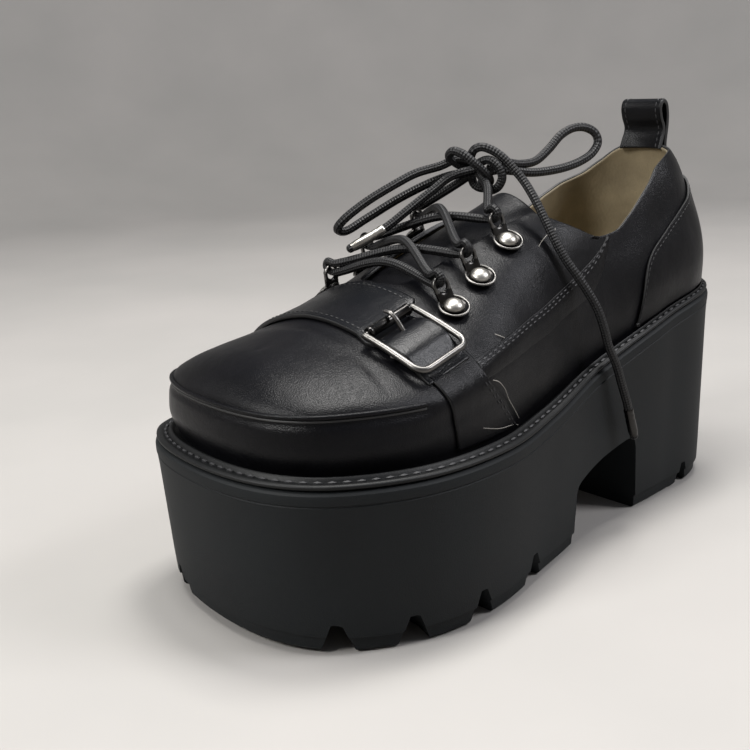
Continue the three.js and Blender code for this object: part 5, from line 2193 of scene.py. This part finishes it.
@dataclass
class LaceRings:
    """Six riveted plates whose eyes stand up toward the throat."""

    dome: float = 3.55

    def build(self) -> None:
        """Makes the rings."""
        for (row, side), place in RINGS.items():
            name = f"lace_ring_{side.name.lower()}_{row + 1}"
            parts = [painted(self.cup(place), 0), painted(self.rim(place), 2), self.eye(place)]
            parts.append(painted(self.rivet(place), 1))
            finishes = [PALETTE.gunmetal, PALETTE.rivet, PALETTE.nickel]
            make_object(name + "_plated", joined(parts), finishes, [name], sharp=55)

    def cup(self, place: RingPlace) -> Mesh:
        """The round plate under the rim.

        Args:
            place: the ring's place.

        Returns:
            Its mesh.
        """
        r = place.rivet + 0.2
        profile = [(0, -0.5), (r - 0.2, -0.5), (r, -0.3), (r, 0.7), (r - 0.5, 0.9), (r - 0.9, 0.5), (0, 0.45)]
        return turned(profile, place.frame(), 36)

    def rim(self, place: RingPlace) -> Mesh:
        """The bright rolled rim of the plate.

        Args:
            place: the ring's place.

        Returns:
            Its mesh.
        """
        turns = np.linspace(0, 2 * PI, 13)
        profile = [(place.rivet + 0.02 + 0.5 * math.cos(a), 0.78 + 0.42 * math.sin(a)) for a in turns]
        return turned(profile, place.frame(), 48)

    def rivet(self, place: RingPlace) -> Mesh:
        """The domed rivet head.

        Args:
            place: the ring's place.

        Returns:
            Its mesh.
        """
        turns = np.radians(np.linspace(0, 90, 9))
        curve = [(self.dome * math.cos(a) if a < 1.57 else 0.0, 0.75 + 2.1 * math.sin(a)) for a in turns]
        return turned([(0, 0.4), (self.dome - 0.4, 0.4), (self.dome, 0.6), *curve], place.frame(), 32)

    def eye(self, place: RingPlace) -> Mesh:
        """The lifted eye: a rounded ring with a neck that runs under the rivet.

        Args:
            place: the ring's place.

        Returns:
            The eye's mesh, bright at its end and dark at its neck.
        """
        bend = place.rivet - place.neck
        centre = place.reach - bend
        tilt = Matrix.Translation((bend - 0.4, 0, 0)) @ Matrix.Rotation(-math.radians(place.lift), 4, "Y")
        rows = []
        for a in np.linspace(0, 2 * PI, 48, endpoint=False):
            way = np.array([math.cos(a), math.sin(a)])
            outer = place.eye
            if way[0] < 0:
                outer = min(place.eye + 0.2 + 5.2 * (-way[0]) ** 3, 3.4 / max(abs(way[1]), 0.35))
            inner = place.hole - 0.1
            middle, half = (outer + inner) / 2, (outer - inner) / 2
            ring = []
            for b in np.linspace(0, 2 * PI, 12, endpoint=False):
                c, s = math.cos(b), math.sin(b)
                r = middle + half * math.copysign(abs(c) ** 0.7, c)
                z = place.plate / 2 + 0.85 * math.copysign(abs(s) ** 0.8, s)
                ring.append((centre + r * way[0], r * way[1], z))
            rows.append(ring)
        bm = grid(np.array(rows), around=True, joined=True)
        bmesh.ops.recalc_face_normals(bm, faces=bm.faces)
        for face in bm.faces:
            face.material_index = 2 if face.calc_center_median().x > centre - 2.2 else 0
        bmesh.ops.transform(bm, matrix=place.frame() @ tilt, verts=bm.verts)
        return bm


@dataclass
class PullLoop:
    """The folded leather loop at the back of the collar."""

    width: float = 20.5
    thick: float = 1.8
    stitch: Stitch = Stitch(2.7, (1.05, 0.34, 0.36))
    line: Rows = (
        (21.7, 146.4, 3.1), (21, 150.5, 2), (20.5, 154.5, 0.9), (22.8, 158.8, 0.5), (24, 163.6, 0.4),
        (22.6, 167.4, 0.4), (19.2, 168.6, 0.4), (16, 166.4, 0.4), (14.4, 161.4, 0.5), (14, 155.5, 0.9),
        (14.3, 151, 1.3), (14.5, 147.6, 1.4), (13.6, 144, 1.5), (12.3, 140.4, 1.5),
    )

    def build(self) -> None:
        """Makes the loop and its stitches."""
        path = spline(self.line, 90)
        way = np.gradient(path[:, :2], axis=0)
        way /= np.linalg.norm(way, axis=1, keepdims=True)
        normal = np.stack([np.zeros(90), way[:, 1], way[:, 0]], -1)
        u = np.linspace(-1, 1, 19)
        middle = np.stack([np.zeros(90), HEEL_CENTRE - path[:, 0], path[:, 1]], -1)
        points = middle[:, None] + normal[:, None] * (self.thick / 2)
        points = np.repeat(points, 19, axis=1)
        points[..., 0] += u[None] * self.width / 2
        points[..., 1] -= path[:, 2:3] * u[None] ** 2
        leather_piece("pull_loop_leather", grid(points), self.thick, 0.4, ["pull_loop"], 70)
        for k, column in enumerate((2, 16)):
            line = points[:, column] + normal * 0.02
            self.stitch.sew(f"pull_loop_stitches_{k + 1}", line, normal, PALETTE.thread)


@dataclass
class LooseThreads:
    """Short untrimmed thread ends, where the sewer turned or stopped."""

    radius: float = 0.15
    ends: tuple[Rows, ...] = (
        (
            (182.1, 81.3, 1.2), (179.5, 80.3, 1.5), (176.1, 77.4, 1.6), (171.4, 71.9, 0.5),
            (167.3, 66.7, 0.8), (163.3, 62.5, 0.4),
        ),
        (
            (187.9, 66.3, 1.2), (183.4, 64.9, 1.5), (178.3, 63.6, 1.8), (167.6, 61.6, 0.9),
            (163.8, 60.2, 0.4),
        ),
        ((171.1, 93.5, 0.8), (169.6, 92.4, 1.3), (168.1, 91.8, 1.0)),
        (
            (111.0, 124.2, 0.2), (115.4, 121.0, 0.8), (119.9, 120.1, 0.9), (126.5, 117.6, 0.7),
            (132.3, 114.4, 0.3),
        ),
    )

    def build(self) -> None:
        """Makes the thread ends."""
        for k, end in enumerate(self.ends):
            s, z, lift = np.array(end).T
            angle, t = FORM.from_side(s, z, 1)
            points = FORM.surface(angle, np.ones_like(s), t, lift)
            bm = tube(spline(points, 24), self.radius, 6)
            make_object(f"loose_thread_{k + 1}", bm, [PALETTE.loose_thread])


def main() -> None:
    """Builds the shoe's pieces in order."""
    logging.basicConfig(level=logging.INFO, format="%(name)s %(message)s")
    buckle = Buckle()
    parts = [Camera(), Lace(), Studio(), PlatformSole(), Welt(), Upper(), Overlays(), Tongue(), Anchor()]
    parts += [Strap(buckle), buckle, LaceRings(), PullLoop(), LooseThreads()]
    for part in parts:
        LOG.info("building %s", type(part).__name__)
        part.build()


if __name__ == "__main__":
    main()
